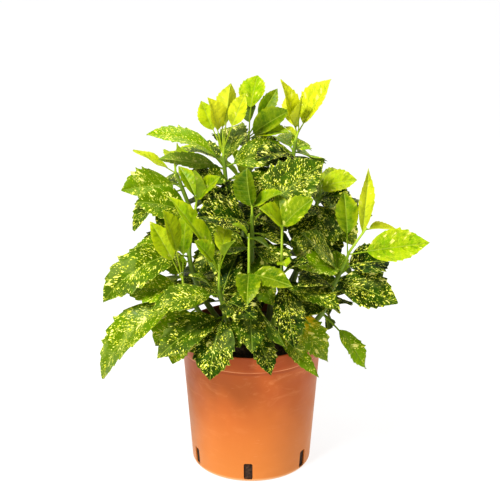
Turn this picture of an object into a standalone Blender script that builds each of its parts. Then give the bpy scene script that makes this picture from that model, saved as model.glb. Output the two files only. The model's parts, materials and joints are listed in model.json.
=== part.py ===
"""A potted spotted laurel: a plastic nursery pot, its soil, the leafy old stems with their
speckled leaves, and the lime green young shoots that stand on top of them.

Metres, +Z up. The origin is the middle of the pot's underside, and the front is at -Y.
Places and leaf sizes in the tables are millimetres, set by eye from the photograph at
guessed depths.
"""

from collections import namedtuple
from math import cos, pi, radians, sin
from random import Random

import bmesh
import bpy
import numpy as np
from mathutils import Vector
from mathutils.bvhtree import BVHTree

MM = 0.001
GAP = 0.3 * MM

# Pot: a round nursery container with a collar, a rounded foot and six slots
POT_HEIGHT = 233 * MM
RIM_RADIUS = 117.5 * MM
COLLAR_HEIGHT = 28 * MM
COLLAR_PROUD = 1.8 * MM
FOOT_RADIUS = 100.5 * MM
FOOT_ROUND = 4 * MM
WALL = 2.2 * MM
FLOOR = 2.8 * MM
POT_SIDES = 38
SLOT_COUNT = 6
SLOT_WIDTH = 14.5 * MM
SLOT_HEIGHT = 31 * MM
SLOT_LIFT = 3.8 * MM
SLOT_CORNER = 3 * MM
SLOT_FIRST = radians(-93)

# Soil: fills the pot to a little under the rim, with a plain hole for each stem
SOIL_TOP = 218 * MM
SOIL_LUMP = 2.5 * MM
SOIL_RINGS = 3
SOIL_SIDES = 26
STEM_FOOT = 192 * MM
HOLE_RADIUS = 6.8 * MM
HOLE_SIDES = 7

# Stems
OLD_RADIUS = (5.6 * MM, 3.4 * MM)
YOUNG_RADIUS = (2.6 * MM, 1.7 * MM)
STEM_SIDES = 5
ROUTE_SPACING = 46 * MM
SEAT_GAP = 0.4 * MM
FIRST_STRETCH = 5 * MM

# Blades: share of each edge point along the blade, and how far it stands out of the oval
Form = namedtuple("Form", "edge rib petiole_half petiole_deep rim_deep rib_deep fold wave")
OLD_FORM = Form(
    edge=((0.18, 1.05), (0.47, 1.08), (0.52, 0.94), (0.71, 1.15), (0.76, 0.84)),
    rib=(0.34, 0.66),
    petiole_half=1.8 * MM, petiole_deep=3.0 * MM, rim_deep=0.8 * MM, rib_deep=1.7 * MM,
    fold=14, wave=2.0 * MM,
)
INNER_FORM = OLD_FORM._replace(edge=((0.16, 1.04), (0.40, 1.03), (0.64, 1.10), (0.69, 0.90)), rib=(0.5,))
YOUNG_FORM = Form(
    edge=((0.16, 1.0), (0.40, 1.03), (0.66, 1.12), (0.71, 0.90)),
    rib=(0.50,),
    petiole_half=1.3 * MM, petiole_deep=2.2 * MM, rim_deep=0.7 * MM, rib_deep=1.3 * MM,
    fold=24, wave=1.2 * MM,
)
OVAL_RISE, OVAL_FALL = 0.72, 0.82

# Clearing: a leaf that would cross another is turned a little until it lies clear
CLEARANCE = 1.2 * MM
CLEAR_TRIES = 150
CLEAR_TURN = 26
ROOT_SHARE = 0.24
RING_STEP = 2.3
SEED = 7

Leaf = namedtuple("Leaf", "base tip width droop roll petiole fold wave phase twist form")


def leaf(height, tip, width, droop=35, roll=0, petiole=0.14):
    """One leaf placed by hand: the height on its stem, its tip, and its blade."""
    return ("leaf", height, tip, width, droop, roll, petiole)


def whorl(height, count, first, length, width, rise=5, droop=40):
    """A ring of leaves placed by rule, the first at the azimuth first, 90 being the back."""
    return ("whorl", height, count, first, length, width, rise, droop)


# Old stems: route from the soil to the top, then the leaves
OLD_STEMS = {
    "stem_top_left": (
        [(-19, 0, 192), (-19, 0, 227), (-29, -10, 362), (-44, -10, 532)],
        [
            leaf(518, (-163, -40, 577), 52, 60, -12),
            leaf(514, (-149, 10, 524), 34, 20, 65),
            leaf(492, (-119, 35, 482), 46, 35, -10),
            leaf(522, (-109, 75, 522), 50, 40),
            leaf(517, (-14, 85, 562), 46, 40),
            leaf(517, (66, 20, 532), 60, 35, 35),
            leaf(497, (-24, -90, 457), 48, 40, 40),
            leaf(494, (1, -60, 512), 18, 25, 20),
            leaf(482, (-78, -45, 466), 52, 40, -15),
            leaf(312, (-94, -15, 271), 54, 40, -15),
            leaf(502, (-71, -30, 514), 40, 30, -20),
            leaf(412, (-98, -35, 399), 44, 35, -30),
            whorl(422, 3, 150, 115, 58, -25),
            leaf(402, (-96, -55, 355), 56, 40, -20),
            leaf(352, (-108, 10, 298), 56, 40, -15),
        ],
    ),
    "stem_top_middle": (
        [(1, 25, 192), (1, 25, 227), (1, 40, 382), (-4, 40, 542)],
        [
            leaf(527, (-59, 150, 517), 54, 45),
            leaf(527, (61, 150, 512), 54, 45),
            leaf(307, (27, -15, 267), 50, 40, 10),
            whorl(452, 3, 30, 115, 58, -20),
            leaf(392, (17, -40, 332), 60, 45, 10),
            leaf(332, (-43, -20, 298), 54, 45, -15),
        ],
    ),
    "stem_centre": (
        [(1, -10, 192), (1, -10, 227), (1, -50, 332), (1, -90, 462)],
        [
            leaf(452, (111, -70, 542), 84, 40, 55, 0.14),
            leaf(447, (-83, -160, 482), 76, 35, -40),
            leaf(432, (67, -60, 400), 58, 30, 20),
            leaf(402, (-69, -140, 417), 54, 35, -20),
            leaf(407, (70, -120, 397), 54, 35, 20),
            leaf(377, (50, -135, 335), 52, 40, 15),
        ],
    ),
    "stem_front_left": (
        [(-19, -35, 192), (-19, -35, 227), (-39, -100, 292), (-49, -145, 362)],
        [
            leaf(307, (-64, -170, 220), 70, 60),
            leaf(337, (11, -195, 337), 60, 40, 12),
            leaf(352, (-154, -170, 337), 52, 40, -25),
            leaf(302, (-146, -165, 254), 56, 60, -28),
            leaf(352, (-94, -170, 397), 30, 25, -15),
            leaf(342, (-19, -90, 402), 52, 30),
            leaf(292, (-14, -150, 272), 56, 40, 20),
        ],
    ),
    "stem_front": (
        [(1, -45, 192), (1, -45, 227), (-4, -105, 292), (-4, -150, 377)],
        [
            leaf(337, (1, -185, 272), 44, 60),
            leaf(352, (56, -165, 271), 32, 20, 110),
            leaf(287, (31, -155, 220), 38, 50, 10),
            leaf(347, (-58, -95, 377), 50, 25, -30),
            leaf(357, (53, -90, 379), 52, 30, 20),
        ],
    ),
    "stem_front_right": (
        [(21, -35, 192), (21, -35, 227), (41, -90, 302), (46, -140, 392)],
        [
            leaf(372, (66, -190, 282), 48, 60, 15),
            leaf(307, (121, -130, 232), 60, 45, 25),
            leaf(267, (107, -130, 205), 26, 40, 40),
            leaf(382, (86, -170, 417), 40, 30, 20),
            leaf(352, (130, -170, 331), 52, 40, 10),
        ],
    ),
    "stem_right": (
        [(46, -20, 192), (46, -20, 227), (81, -50, 252), (111, -70, 287), (131, -85, 347),
         (146, -90, 382)],
        [
            leaf(354, (229, -110, 323), 74, 24, 38, 0.05),
            leaf(374, (218, -65, 376), 60, 50, 35),
            leaf(372, (71, -155, 402), 46, 30, -30),
            leaf(362, (68, -125, 444), 54, 30, -35),
            leaf(342, (66, -160, 367), 54, 30, -30),
            leaf(322, (81, -150, 317), 50, 40, -15),
            leaf(302, (161, -30, 292), 46, 45),
            leaf(294, (124, -60, 257), 32, 40, 10),
            leaf(292, (184, -100, 206), 36, 35, 24, 0.34),
            leaf(312, (196, -10, 322), 52, 45),
            leaf(352, (134, -60, 395), 40, 30, 10),
        ],
    ),
    "stem_left": (
        [(-44, -20, 192), (-44, -20, 227), (-79, -70, 287), (-104, -115, 352)],
        [
            leaf(342, (-202, -105, 346), 52, 40, -50),
            leaf(327, (-235, -125, 200), 68, 98, -32, 0.16),
            leaf(294, (-125, -105, 217), 54, 45, -18),
            leaf(304, (-153, -85, 240), 58, 45, -38),
            leaf(337, (-159, -10, 302), 54, 45),
        ],
    ),
    "stem_left_back": (
        [(-44, 10, 192), (-44, 10, 227), (-79, -30, 302), (-99, -50, 382), (-89, -35, 452)],
        [
            leaf(380, (-230, -130, 333), 64, 104, -28),
            leaf(387, (-199, -40, 382), 50, 45, -20),
            leaf(444, (-180, -65, 476), 62, 45, -42),
            leaf(417, (-153, -35, 448), 54, 20, -62),
            leaf(352, (-122, -10, 333), 46, 40, -10),
            leaf(372, (-141, -60, 364), 40, 30, -40),
            whorl(342, 2, 130, 115, 58, -25),
        ],
    ),
    "stem_top_right": (
        [(26, 5, 192), (26, 5, 227), (46, 5, 382), (70, 10, 552)],
        [
            leaf(532, (72, -80, 503), 56, 45),
            leaf(537, (108, 65, 501), 60, 25, 20),
            leaf(537, (36, 105, 532), 46, 40),
            leaf(532, (6, -50, 537), 50, 40, -25),
            leaf(497, (-9, -65, 482), 60, 40, -25),
            leaf(312, (80, -20, 282), 50, 40, 10),
            leaf(538, (82, 45, 541), 38, 35, 15),
            whorl(442, 2, 60, 115, 58, -20),
            leaf(422, (107, -30, 363), 60, 45, 10),
            leaf(347, (123, 20, 294), 54, 45, 10),
        ],
    ),
    "stem_right_back": (
        [(46, 25, 192), (46, 25, 227), (81, 30, 342), (111, 20, 462)],
        [
            leaf(452, (110, -95, 391), 82, 45),
            leaf(437, (167, -35, 392), 56, 45, 20),
            leaf(442, (51, -55, 440), 60, 40, -25),
            leaf(447, (176, 105, 407), 56, 45),
            leaf(447, (81, 130, 432), 54, 45),
            leaf(452, (161, -30, 470), 38, 40, 30),
            leaf(402, (75, -25, 361), 56, 40, -20),
            leaf(457, (128, 20, 441), 40, 30, 25),
            leaf(427, (68, -60, 384), 36, 30, -10),
            whorl(352, 3, 350, 118, 58, -30),
            leaf(267, (152, 45, 242), 54, 45),
        ],
    ),
    "stem_back_left": (
        [(-29, 30, 192), (-29, 30, 227), (-74, 70, 342), (-124, 80, 477)],
        [
            leaf(462, (-208, -10, 478), 64, 8, -38),
            whorl(457, 3, 0, 118, 58, -15, 45),
            whorl(397, 3, 110, 122, 60, -28, 45),
            whorl(322, 3, 100, 118, 58, -35, 45),
            leaf(267, (-154, 40, 217), 54, 45),
        ],
    ),
    "stem_back_right": (
        [(31, 45, 192), (31, 45, 227), (81, 90, 312), (111, 120, 402)],
        [
            whorl(387, 4, 20, 118, 60, -15, 45),
            whorl(327, 3, 60, 122, 60, -28, 45),
            leaf(277, (141, 60, 232), 54, 45),
        ],
    ),
    "stem_back": (
        [(1, 50, 192), (1, 50, 227), (-9, 110, 332), (-14, 145, 432)],
        [
            whorl(417, 4, 80, 118, 60, -15, 45),
            whorl(357, 3, 100, 122, 60, -28, 45),
            leaf(302, (-19, 215, 242), 56, 45),
        ],
    ),
}

# Young shoots: the old stem that carries each, its route above that stem, and the leaves
YOUNG_SHOOTS = {
    "shoot_top_left": (
        "stem_top_left", [(-44, -10, 550)],
        [
            leaf(539, (-67, -25, 633), 44, 10, -62, 0.42),
            leaf(543, (-32, -5, 651), 38, 10, -85, 0.42),
            leaf(541, (-79, 10, 619), 32, 20, -70, 0.44),
            leaf(545, (-48, 38, 613), 28, 20, 0, 0.44),
            leaf(547, (-10, -10, 636), 30, 12, 80, 0.42),
        ],
    ),
    "shoot_top_middle": (
        "stem_top_middle", [(-4, 40, 562)],
        [
            leaf(559, (11, 85, 643), 48, 35, -10, 0.42),
            leaf(556, (41, 60, 628), 28, 20, 60, 0.36),
            leaf(553, (63, 25, 600), 46, 20, 55, 0.12),
            leaf(550, (51, 0, 571), 34, 40, 30, 0.15),
            leaf(555, (-2, 75, 606), 30, 20, -40, 0.36),
        ],
    ),
    "shoot_top_right": (
        "stem_top_right", [(76, 10, 574)],
        [
            leaf(564, (46, 0, 656), 36, 12, -60, 0.12),
            leaf(571, (118, 0, 659), 55, 4, 50, 0.14),
            leaf(569, (75, -25, 638), 30, 15, 60, 0.14),
            leaf(560, (51, 30, 572), 16, 20, 0, 0.1),
            leaf(564, (56, 60, 617), 30, 20, 0, 0.2),
        ],
    ),
    "shoot_right_back": (
        "stem_right_back", [(111, 20, 482)],
        [
            leaf(472, (171, 0, 488), 42, 40, 50, 0.06),
            leaf(478, (155, 70, 482), 36, 30, 0, 0.15),
            leaf(476, (90, 60, 484), 34, 30, 0, 0.15),
        ],
    ),
    "shoot_right": (
        "stem_right", [(151, -95, 402), (178, -95, 444)],
        [
            leaf(397, (143, -70, 495), 40, 20, 0, 0.36),
            leaf(434, (179, -85, 537), 26, 4, 50, 0.04),
            leaf(442, (227, -62, 430), 26, 15, 15, 0.12),
            leaf(400, (272, -130, 432), 59, 6, 52, 0.24),
        ],
    ),
    "shoot_left": (
        "stem_left", [(-107, -119, 374)],
        [
            leaf(366, (-153, -134, 468), 34, 15, -70, 0.36),
            leaf(370, (-133, -150, 492), 40, 15, -80, 0.42),
            leaf(368, (-99, -90, 472), 32, 25, 0, 0.36),
        ],
    ),
    "shoot_left_back": (
        "stem_left_back", [(-86, -38, 474)],
        [
            leaf(468, (-90, -60, 526), 38, 20, -60, 0.08),
            leaf(470, (-61, -75, 528), 34, 10, 65, 0.08),
            leaf(469, (-114, -5, 517), 32, 30, 0, 0.12),
        ],
    ),
    "shoot_front_left": (
        "stem_front_left", [(-49, -148, 404)],
        [
            leaf(394, (-125, -152, 514), 44, 25, -30, 0.2),
            leaf(400, (-34, -125, 472), 32, 15, 0, 0.3),
            leaf(396, (-24, -170, 450), 26, 30, 0, 0.4),
            leaf(392, (-85, -180, 454), 36, 20, -60, 0.35),
        ],
    ),
    "shoot_centre": (
        "stem_centre", [(1, -90, 482)],
        [
            leaf(474, (-7, -80, 536), 50, 20, -80, 0.06),
            leaf(476, (47, -118, 508), 32, 20, 40, 0.08),
        ],
    ),
    "shoot_front_right": (
        "stem_front_right", [(46, -140, 412), (46, -140, 464)],
        [
            leaf(458, (11, -165, 499), 44, 40, -40, 0.06),
            leaf(460, (93, -138, 505), 46, 35, 40, 0.06),
            leaf(456, (41, -104, 502), 30, 20, 0, 0.1),
            leaf(406, (59, -178, 396), 22, 30, 0, 0.12),
        ],
    ),
    "shoot_front": (
        "stem_front", [(-4, -150, 402), (-4, -150, 454)],
        [
            leaf(390, (61, -205, 390), 38, 20, 35, 0.12),
            leaf(392, (-7, -216, 364), 42, 50, 0, 0.12),
            leaf(448, (27, -176, 438), 16, 30, 0, 0.1),
            leaf(450, (-29, -168, 472), 22, 30, 0, 0.2),
        ],
    ),
    "shoot_back_left": (
        "stem_back_left", [(-127, 83, 496)],
        [
            leaf(480, (-194, 62, 524), 26, 8, -20, 0.2),
            leaf(492, (-122, 72, 533), 44, 10, -80, 0.1),
            leaf(488, (-138, 140, 500), 34, 30, 0, 0.2),
            leaf(490, (-90, 122, 514), 34, 30, 0, 0.2),
        ],
    ),
    "shoot_back_right": (
        "stem_back_right", [(116, 125, 422)],
        [
            whorl(414, 3, 20, 72, 36, 45, 25),
            whorl(418, 2, 100, 62, 32, 60, 15),
        ],
    ),
    "shoot_back": (
        "stem_back", [(-14, 150, 452)],
        [
            whorl(444, 3, 60, 78, 38, 45, 25),
            whorl(448, 2, 150, 68, 32, 66, 15),
        ],
    ),
}


# General helpers

def make_material(name, colour, roughness):
    """A Principled material in the part's own colour."""
    material = bpy.data.materials.new(name)
    material.use_nodes = True
    shader = material.node_tree.nodes["Principled BSDF"]
    shader.inputs["Base Color"].default_value = (*colour, 1)
    shader.inputs["Roughness"].default_value = roughness
    shader.inputs["Metallic"].default_value = 0
    material.diffuse_color = (*colour, 1)
    return material


def make_object(name, vertices, faces, collection=None):
    """An object with a closed mesh, its faces turned outward."""
    mesh = bpy.data.meshes.new(name)
    mesh.from_pydata([tuple(v) for v in vertices], [], faces)
    work = bmesh.new()
    work.from_mesh(mesh)
    bmesh.ops.recalc_face_normals(work, faces=work.faces)
    work.to_mesh(mesh)
    work.free()
    made = bpy.data.objects.new(name, mesh)
    (collection or bpy.context.scene.collection).objects.link(made)
    return made


def is_closed(mesh):
    """True if each edge has exactly two faces."""
    work = bmesh.new()
    work.from_mesh(mesh)
    closed = len(work.faces) > 0 and all(len(edge.link_faces) == 2 for edge in work.edges)
    work.free()
    return closed


def combine(target, others, operation):
    """Joins the collection's objects to target, or cuts them from it, and removes them."""
    modifier = target.modifiers.new(operation.lower(), "BOOLEAN")
    modifier.operation = operation
    modifier.operand_type = "COLLECTION"
    modifier.collection = others
    for solver in ("EXACT", "MANIFOLD"):
        modifier.solver = solver
        graph = bpy.context.evaluated_depsgraph_get()
        result = bpy.data.meshes.new_from_object(target.evaluated_get(graph))
        if is_closed(result):
            break
    target.modifiers.remove(modifier)
    target.data = result
    for member in list(others.objects):
        bpy.data.objects.remove(member)
    bpy.data.collections.remove(others)


def new_collection(name):
    """A collection for the pieces of one Boolean."""
    made = bpy.data.collections.new(name)
    bpy.context.scene.collection.children.link(made)
    return made


def shade_smooth(thing, sharp_above):
    """Smooth shading that keeps the edges above an angle crisp."""
    thing.data.shade_smooth()
    thing.data.set_sharp_from_angle(angle=radians(sharp_above))


# Pot and soil

def wall_radius(height):
    """Outer radius of the pot's body under its collar."""
    top = POT_HEIGHT - COLLAR_HEIGHT
    share = (height - FOOT_ROUND) / (top - FOOT_ROUND)
    return FOOT_RADIUS + (RIM_RADIUS - COLLAR_PROUD - 0.8 * MM - FOOT_RADIUS) * share


def turned_surface(profile, sides):
    """Vertices and faces turned from (radius, height) points that start and end on the axis."""
    vertices = [(0, 0, profile[0][1]), (0, 0, profile[-1][1])]
    rings = profile[1:-1]
    for radius, height in rings:
        for k in range(sides):
            turn = 2 * pi * k / sides
            vertices.append((radius * cos(turn), radius * sin(turn), height))
    faces = []
    last = 2 + (len(rings) - 1) * sides
    for k in range(sides):
        after = (k + 1) % sides
        faces.append((0, 2 + after, 2 + k))
        faces.append((1, last + k, last + after))
        for ring in range(len(rings) - 1):
            low = 2 + ring * sides
            high = low + sides
            faces.append((low + k, low + after, high + after, high + k))
    return vertices, faces


def pot_profile():
    """Radius and height of the pot's outline, out from its underside and back in over the rim."""
    collar = POT_HEIGHT - COLLAR_HEIGHT
    lip = 1.1 * MM
    round_out = [
        (FOOT_RADIUS - FOOT_ROUND * (1 - sin(a)), FOOT_ROUND * (1 - cos(a)))
        for a in (0, pi / 6, pi / 3, pi / 2)
    ]
    profile = [(0, 0), *round_out]
    profile += [
        (wall_radius(collar), collar),
        (RIM_RADIUS - 0.8 * MM, collar + 1.2 * MM),
        (RIM_RADIUS, POT_HEIGHT - lip),
        (RIM_RADIUS - lip, POT_HEIGHT),
        (RIM_RADIUS - WALL, POT_HEIGHT - 0.4 * MM),
        (wall_radius(collar) - WALL + 0.9 * MM, collar + 1.5 * MM),
        (wall_radius(collar) - WALL, collar - 2 * MM),
        (FOOT_RADIUS - WALL, FOOT_ROUND),
        (FOOT_RADIUS - FOOT_ROUND, FLOOR),
        (0, FLOOR),
    ]
    return profile


def build_pot():
    """The container, with its slots cut through the foot of the wall."""
    pot = make_object("pot", *turned_surface(pot_profile(), POT_SIDES))
    cutters = new_collection("slots")
    half = SLOT_WIDTH / 2 - SLOT_CORNER
    low, high = SLOT_LIFT + SLOT_CORNER, SLOT_LIFT + SLOT_HEIGHT - SLOT_CORNER
    outline = []
    for side, level, start in ((1, low, -pi / 2), (1, high, 0), (-1, high, pi / 2), (-1, low, pi)):
        for step in range(3):
            turn = start + step * pi / 4
            outline.append((side * half + SLOT_CORNER * cos(turn), level + SLOT_CORNER * sin(turn)))
    for k in range(SLOT_COUNT):
        turn = SLOT_FIRST + 2 * pi * k / SLOT_COUNT
        out, across = Vector((cos(turn), sin(turn), 0)), Vector((-sin(turn), cos(turn), 0))
        points = []
        for reach in (FOOT_RADIUS - 12 * MM, FOOT_RADIUS + 10 * MM):
            points += [out * reach + across * x + Vector((0, 0, z)) for x, z in outline]
        count = len(outline)
        faces = [tuple(range(count)), tuple(range(count, 2 * count))]
        faces += [(j, (j + 1) % count, count + (j + 1) % count, count + j) for j in range(count)]
        cutter = make_object(f"slot_{k}", points, faces, cutters)
        cutter.hide_render = True
        cutter.display_type = "WIRE"
    combine(pot, cutters, "DIFFERENCE")
    shade_smooth(pot, 35)
    pot.data.materials.clear()
    pot.data.materials.append(make_material("pot_plastic", (0.62, 0.19, 0.045), 0.5))


def build_soil():
    """Lumpy soil, 0.3 mm clear of the pot's flats, with a hole round the foot of each stem."""
    collar = POT_HEIGHT - COLLAR_HEIGHT
    flat = cos(pi / POT_SIDES)
    top_radius = (wall_radius(collar) - WALL) * flat
    profile = [(0, FLOOR + GAP), ((FOOT_RADIUS - FOOT_ROUND) * flat - GAP, FLOOR + GAP)]
    profile.append(((FOOT_RADIUS - WALL) * flat - GAP, FOOT_ROUND + GAP))
    profile.append(((wall_radius(collar) - WALL) * flat - GAP, collar - 2 * MM))
    for ring in range(SOIL_RINGS):
        profile.append((top_radius * (1 - ring / SOIL_RINGS), SOIL_TOP))
    profile.append((0, SOIL_TOP))
    soil = make_object("soil", *turned_surface(profile, SOIL_SIDES))
    for vertex in soil.data.vertices:
        x, y, z = vertex.co
        if z > SOIL_TOP - GAP:
            lump = sin(x * 190 + 1.3) * cos(y * 160) + 0.7 * sin(x * 410 + y * 370)
            edge = 1 - min(1, ((x * x + y * y) ** 0.5 / top_radius) ** 4)
            vertex.co.z += lump * SOIL_LUMP * edge
    cutters = new_collection("holes")
    for name, (route, _) in OLD_STEMS.items():
        x, y = route[0][0] * MM, route[0][1] * MM
        ring = [(HOLE_RADIUS * cos(2 * pi * (k + 0.5) / HOLE_SIDES),
                 HOLE_RADIUS * sin(2 * pi * (k + 0.5) / HOLE_SIDES)) for k in range(HOLE_SIDES)]
        low, high = STEM_FOOT - 2 * GAP, SOIL_TOP + 12 * MM
        points = [(x + a, y + b, low) for a, b in ring] + [(x + a, y + b, high) for a, b in ring]
        faces = [tuple(range(HOLE_SIDES)), tuple(range(HOLE_SIDES, 2 * HOLE_SIDES))]
        faces += [
            (j, (j + 1) % HOLE_SIDES, HOLE_SIDES + (j + 1) % HOLE_SIDES, HOLE_SIDES + j)
            for j in range(HOLE_SIDES)
        ]
        cutter = make_object(f"hole_{name}", points, faces, cutters)
        cutter.hide_render = True
        cutter.display_type = "WIRE"
    combine(soil, cutters, "DIFFERENCE")
    shade_smooth(soil, 50)
    soil.data.materials.clear()
    soil.data.materials.append(make_material("soil", (0.035, 0.022, 0.015), 0.95))


# Stems

def smooth_route(points):
    """Points along a smooth curve through the route, straight in its first stretch."""
    given = [Vector(p) * MM for p in points]
    route = [given[0]]
    for k in range(len(given) - 1):
        before = given[k - 1] if k else given[k] * 2 - given[k + 1]
        after = given[k + 2] if k + 2 < len(given) else given[k + 1] * 2 - given[k]
        a, b = given[k], given[k + 1]
        steps = max(1, round((b - a).length / ROUTE_SPACING)) if k else 1
        for step in range(1, steps + 1):
            t = step / steps
            if k == 0:
                route.append(a.lerp(b, t))
                continue
            route.append(0.5 * (
                2 * a + (b - before) * t + (2 * before - 5 * a + 4 * b - after) * t ** 2
                + (3 * a - before - 3 * b + after) * t ** 3
            ))
    return route


def at_height(route, height):
    """The point of a route at a height."""
    for a, b in zip(route, route[1:]):
        if a.z <= height <= b.z:
            return a.lerp(b, (height - a.z) / (b.z - a.z))
    return route[-1].copy() if height > route[-1].z else route[0].copy()


def tube(route, radii):
    """Vertices and triangles of a capped tube that narrows along its route."""
    vertices, faces = [], []
    for k, point in enumerate(route):
        ahead = (route[min(k + 1, len(route) - 1)] - route[max(k - 1, 0)]).normalized()
        side = ahead.cross(Vector((0.3, 1, 0))).normalized()
        other = ahead.cross(side)
        radius = radii[0] + (radii[1] - radii[0]) * k / (len(route) - 1)
        for j in range(STEM_SIDES):
            turn = 2 * pi * j / STEM_SIDES
            vertices.append(point + radius * (cos(turn) * side + sin(turn) * other))
    for k in range(len(route) - 1):
        for j in range(STEM_SIDES):
            a, b = k * STEM_SIDES + j, k * STEM_SIDES + (j + 1) % STEM_SIDES
            faces += [(a, b, b + STEM_SIDES), (a, b + STEM_SIDES, a + STEM_SIDES)]
    last = len(vertices) - STEM_SIDES
    for j in range(1, STEM_SIDES - 1):
        faces += [(0, j + 1, j), (last, last + j, last + j + 1)]
    return vertices, faces


# Leaves

def oval(t):
    """Half width of the blade at t along it, as a share of its greatest half width."""
    peak = OVAL_RISE / (OVAL_RISE + OVAL_FALL)
    most = peak ** OVAL_RISE * (1 - peak) ** OVAL_FALL
    return t ** OVAL_RISE * (1 - t) ** OVAL_FALL / most if 0 < t < 1 else 0.0


def leaf_frame(one):
    """A function from the share s along the leaf to its rib point, normal and side."""
    base = np.array(one.base)
    chord = np.array(one.tip) - base
    length = np.linalg.norm(chord)
    along = chord / length
    upright = np.array((0, 0, 1.0)) - along[2] * along
    upright /= np.linalg.norm(upright)
    side = np.cross(along, upright)
    roll, droop = radians(one.roll), radians(one.droop)
    normal = upright * cos(roll) + side * sin(roll)
    side = np.cross(along, normal)
    radius = length / (2 * sin(droop / 2))

    def frame(s):
        lean = droop / 2 - droop * s
        point = base + along * radius * (sin(droop / 2) - sin(lean))
        point = point + normal * radius * (cos(lean) - cos(droop / 2))
        up = normal * cos(lean) - along * sin(lean)
        turn = radians(one.twist) * s
        return point, up * cos(turn) + side * sin(turn), side * cos(turn) - up * sin(turn)

    return frame, length


def leaf_mesh(one, grow=0.0):
    """Vertices, triangles and each triangle's share along a leaf: petiole and blade."""
    form = one.form
    frame, _ = leaf_frame(one)
    p = one.petiole
    ribs = [0.0, p] + [p + (1 - p) * t for t in form.rib] + [1.0]
    edges = [(0.0, None), (p, None)] + [(p + (1 - p) * t, t) for t, _ in form.edge]
    reach = dict(form.edge)
    vertices = []
    for s in ribs:
        point, up, _ = frame(s)
        t = max(0.0, (s - p) / (1 - p))
        deep = form.petiole_deep + (form.rib_deep - form.petiole_deep) * min(1, t * 3)
        deep = deep + (form.rim_deep - deep) * t
        vertices += [point + up * grow, point - up * (deep + grow)]
    rims = {}
    for hand in (1, -1):
        rims[hand] = []
        for s, t in edges:
            point, up, side = frame(s)
            top = len(vertices)
            if t is None:
                point = point + side * hand * (form.petiole_half + grow)
                vertices.append(point - up * form.petiole_deep * 0.4)
                rims[hand].append((top, top))
                continue
            half = max(form.petiole_half, one.width / 2 * oval(t) * reach[t])
            wave = one.wave * sin(2 * pi * (1.6 * t + one.phase) + hand) * min(1, t * 3)
            lift = sin(radians(one.fold)) * half + wave
            point = point + side * hand * (half * cos(radians(one.fold)) + grow) + up * lift
            vertices += [point + up * grow, point - up * (form.rim_deep + grow)]
            rims[hand].append((top, top + 1))
        rims[hand].append((2 * (len(ribs) - 1), 2 * (len(ribs) - 1) + 1))
    faces, shares = [], []
    for hand in (1, -1):
        rim = rims[hand]
        rim_share = [s for s, _ in edges] + [1.0]
        i = j = 0
        while i < len(rim) - 1 or j < len(ribs) - 1:
            if j == len(ribs) - 1 or (i < len(rim) - 1 and rim_share[i + 1] <= ribs[j + 1]):
                corners = (rim[i], rim[i + 1], (2 * j, 2 * j + 1))
                share, i = rim_share[i], i + 1
            else:
                corners = (rim[i], (2 * j + 2, 2 * j + 3), (2 * j, 2 * j + 1))
                share, j = ribs[j], j + 1
            above, under = zip(*corners)
            if len(set(above)) == 3:
                faces += [above[::hand], under[::-hand]]
                shares += [share, share]
        for (a, a_under), (b, b_under), share in zip(rim, rim[1:], rim_share):
            if b != b_under:
                faces.append((a, b_under, b)[::hand])
                shares.append(share)
            if a != a_under:
                faces.append((a, a_under, b_under)[::hand])
                shares.append(share)
    left, right = rims[1][0][0], rims[-1][0][0]
    faces += [(0, 1, left), (0, right, 1)]
    shares += [0.0, 0.0]
    return vertices, faces, shares


def settle(one, grown_others, draw):
    """The leaf turned until it is clear of the others, or None if it finds no room."""
    base = np.array(one.base)
    span = np.array(one.tip) - base
    for attempt in range(CLEAR_TRIES):
        amount = CLEAR_TURN * attempt / CLEAR_TRIES
        turned = one
        if attempt:
            swing, lift, spin = (radians(amount * draw.uniform(-1, 1)) for _ in range(3))
            flat = np.array((-span[1], span[0], 0.0))
            moved = span * cos(swing) + flat * sin(swing)
            moved = moved + np.array((0, 0, np.linalg.norm(span) * sin(lift)))
            moved *= np.linalg.norm(span) / np.linalg.norm(moved)
            if attempt > CLEAR_TRIES * 2 // 3:
                moved *= draw.uniform(0.72, 1.0)
            turned = one._replace(tip=tuple(base + moved), roll=one.roll + 1.5 * spin * 180 / pi)
        vertices, faces, shares = leaf_mesh(turned, CLEARANCE / 2)
        if not crosses(vertices, faces, shares, grown_others):
            return turned
    return None


def crosses(vertices, faces, shares, others):
    """True if a grown leaf meets one of (tree, low, high, own) others."""
    corners = np.array(vertices)
    low, high = corners.min(axis=0), corners.max(axis=0)
    whole = blade = None
    for tree, other_low, other_high, own in others:
        if (low > other_high).any() or (high < other_low).any():
            continue
        if own:
            if blade is None:
                kept = [f for f, share in zip(faces, shares) if share >= ROOT_SHARE]
                blade = BVHTree.FromPolygons([tuple(v) for v in vertices], kept)
            if blade.overlap(tree):
                return True
        else:
            if whole is None:
                whole = BVHTree.FromPolygons([tuple(v) for v in vertices], faces)
            if whole.overlap(tree):
                return True
    return False


def tree_of(vertices, faces):
    """A search tree of a mesh, with its lowest and highest corner."""
    corners = np.array([tuple(v) for v in vertices])
    return BVHTree.FromPolygons(corners.tolist(), faces), corners.min(axis=0), corners.max(axis=0)


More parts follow.
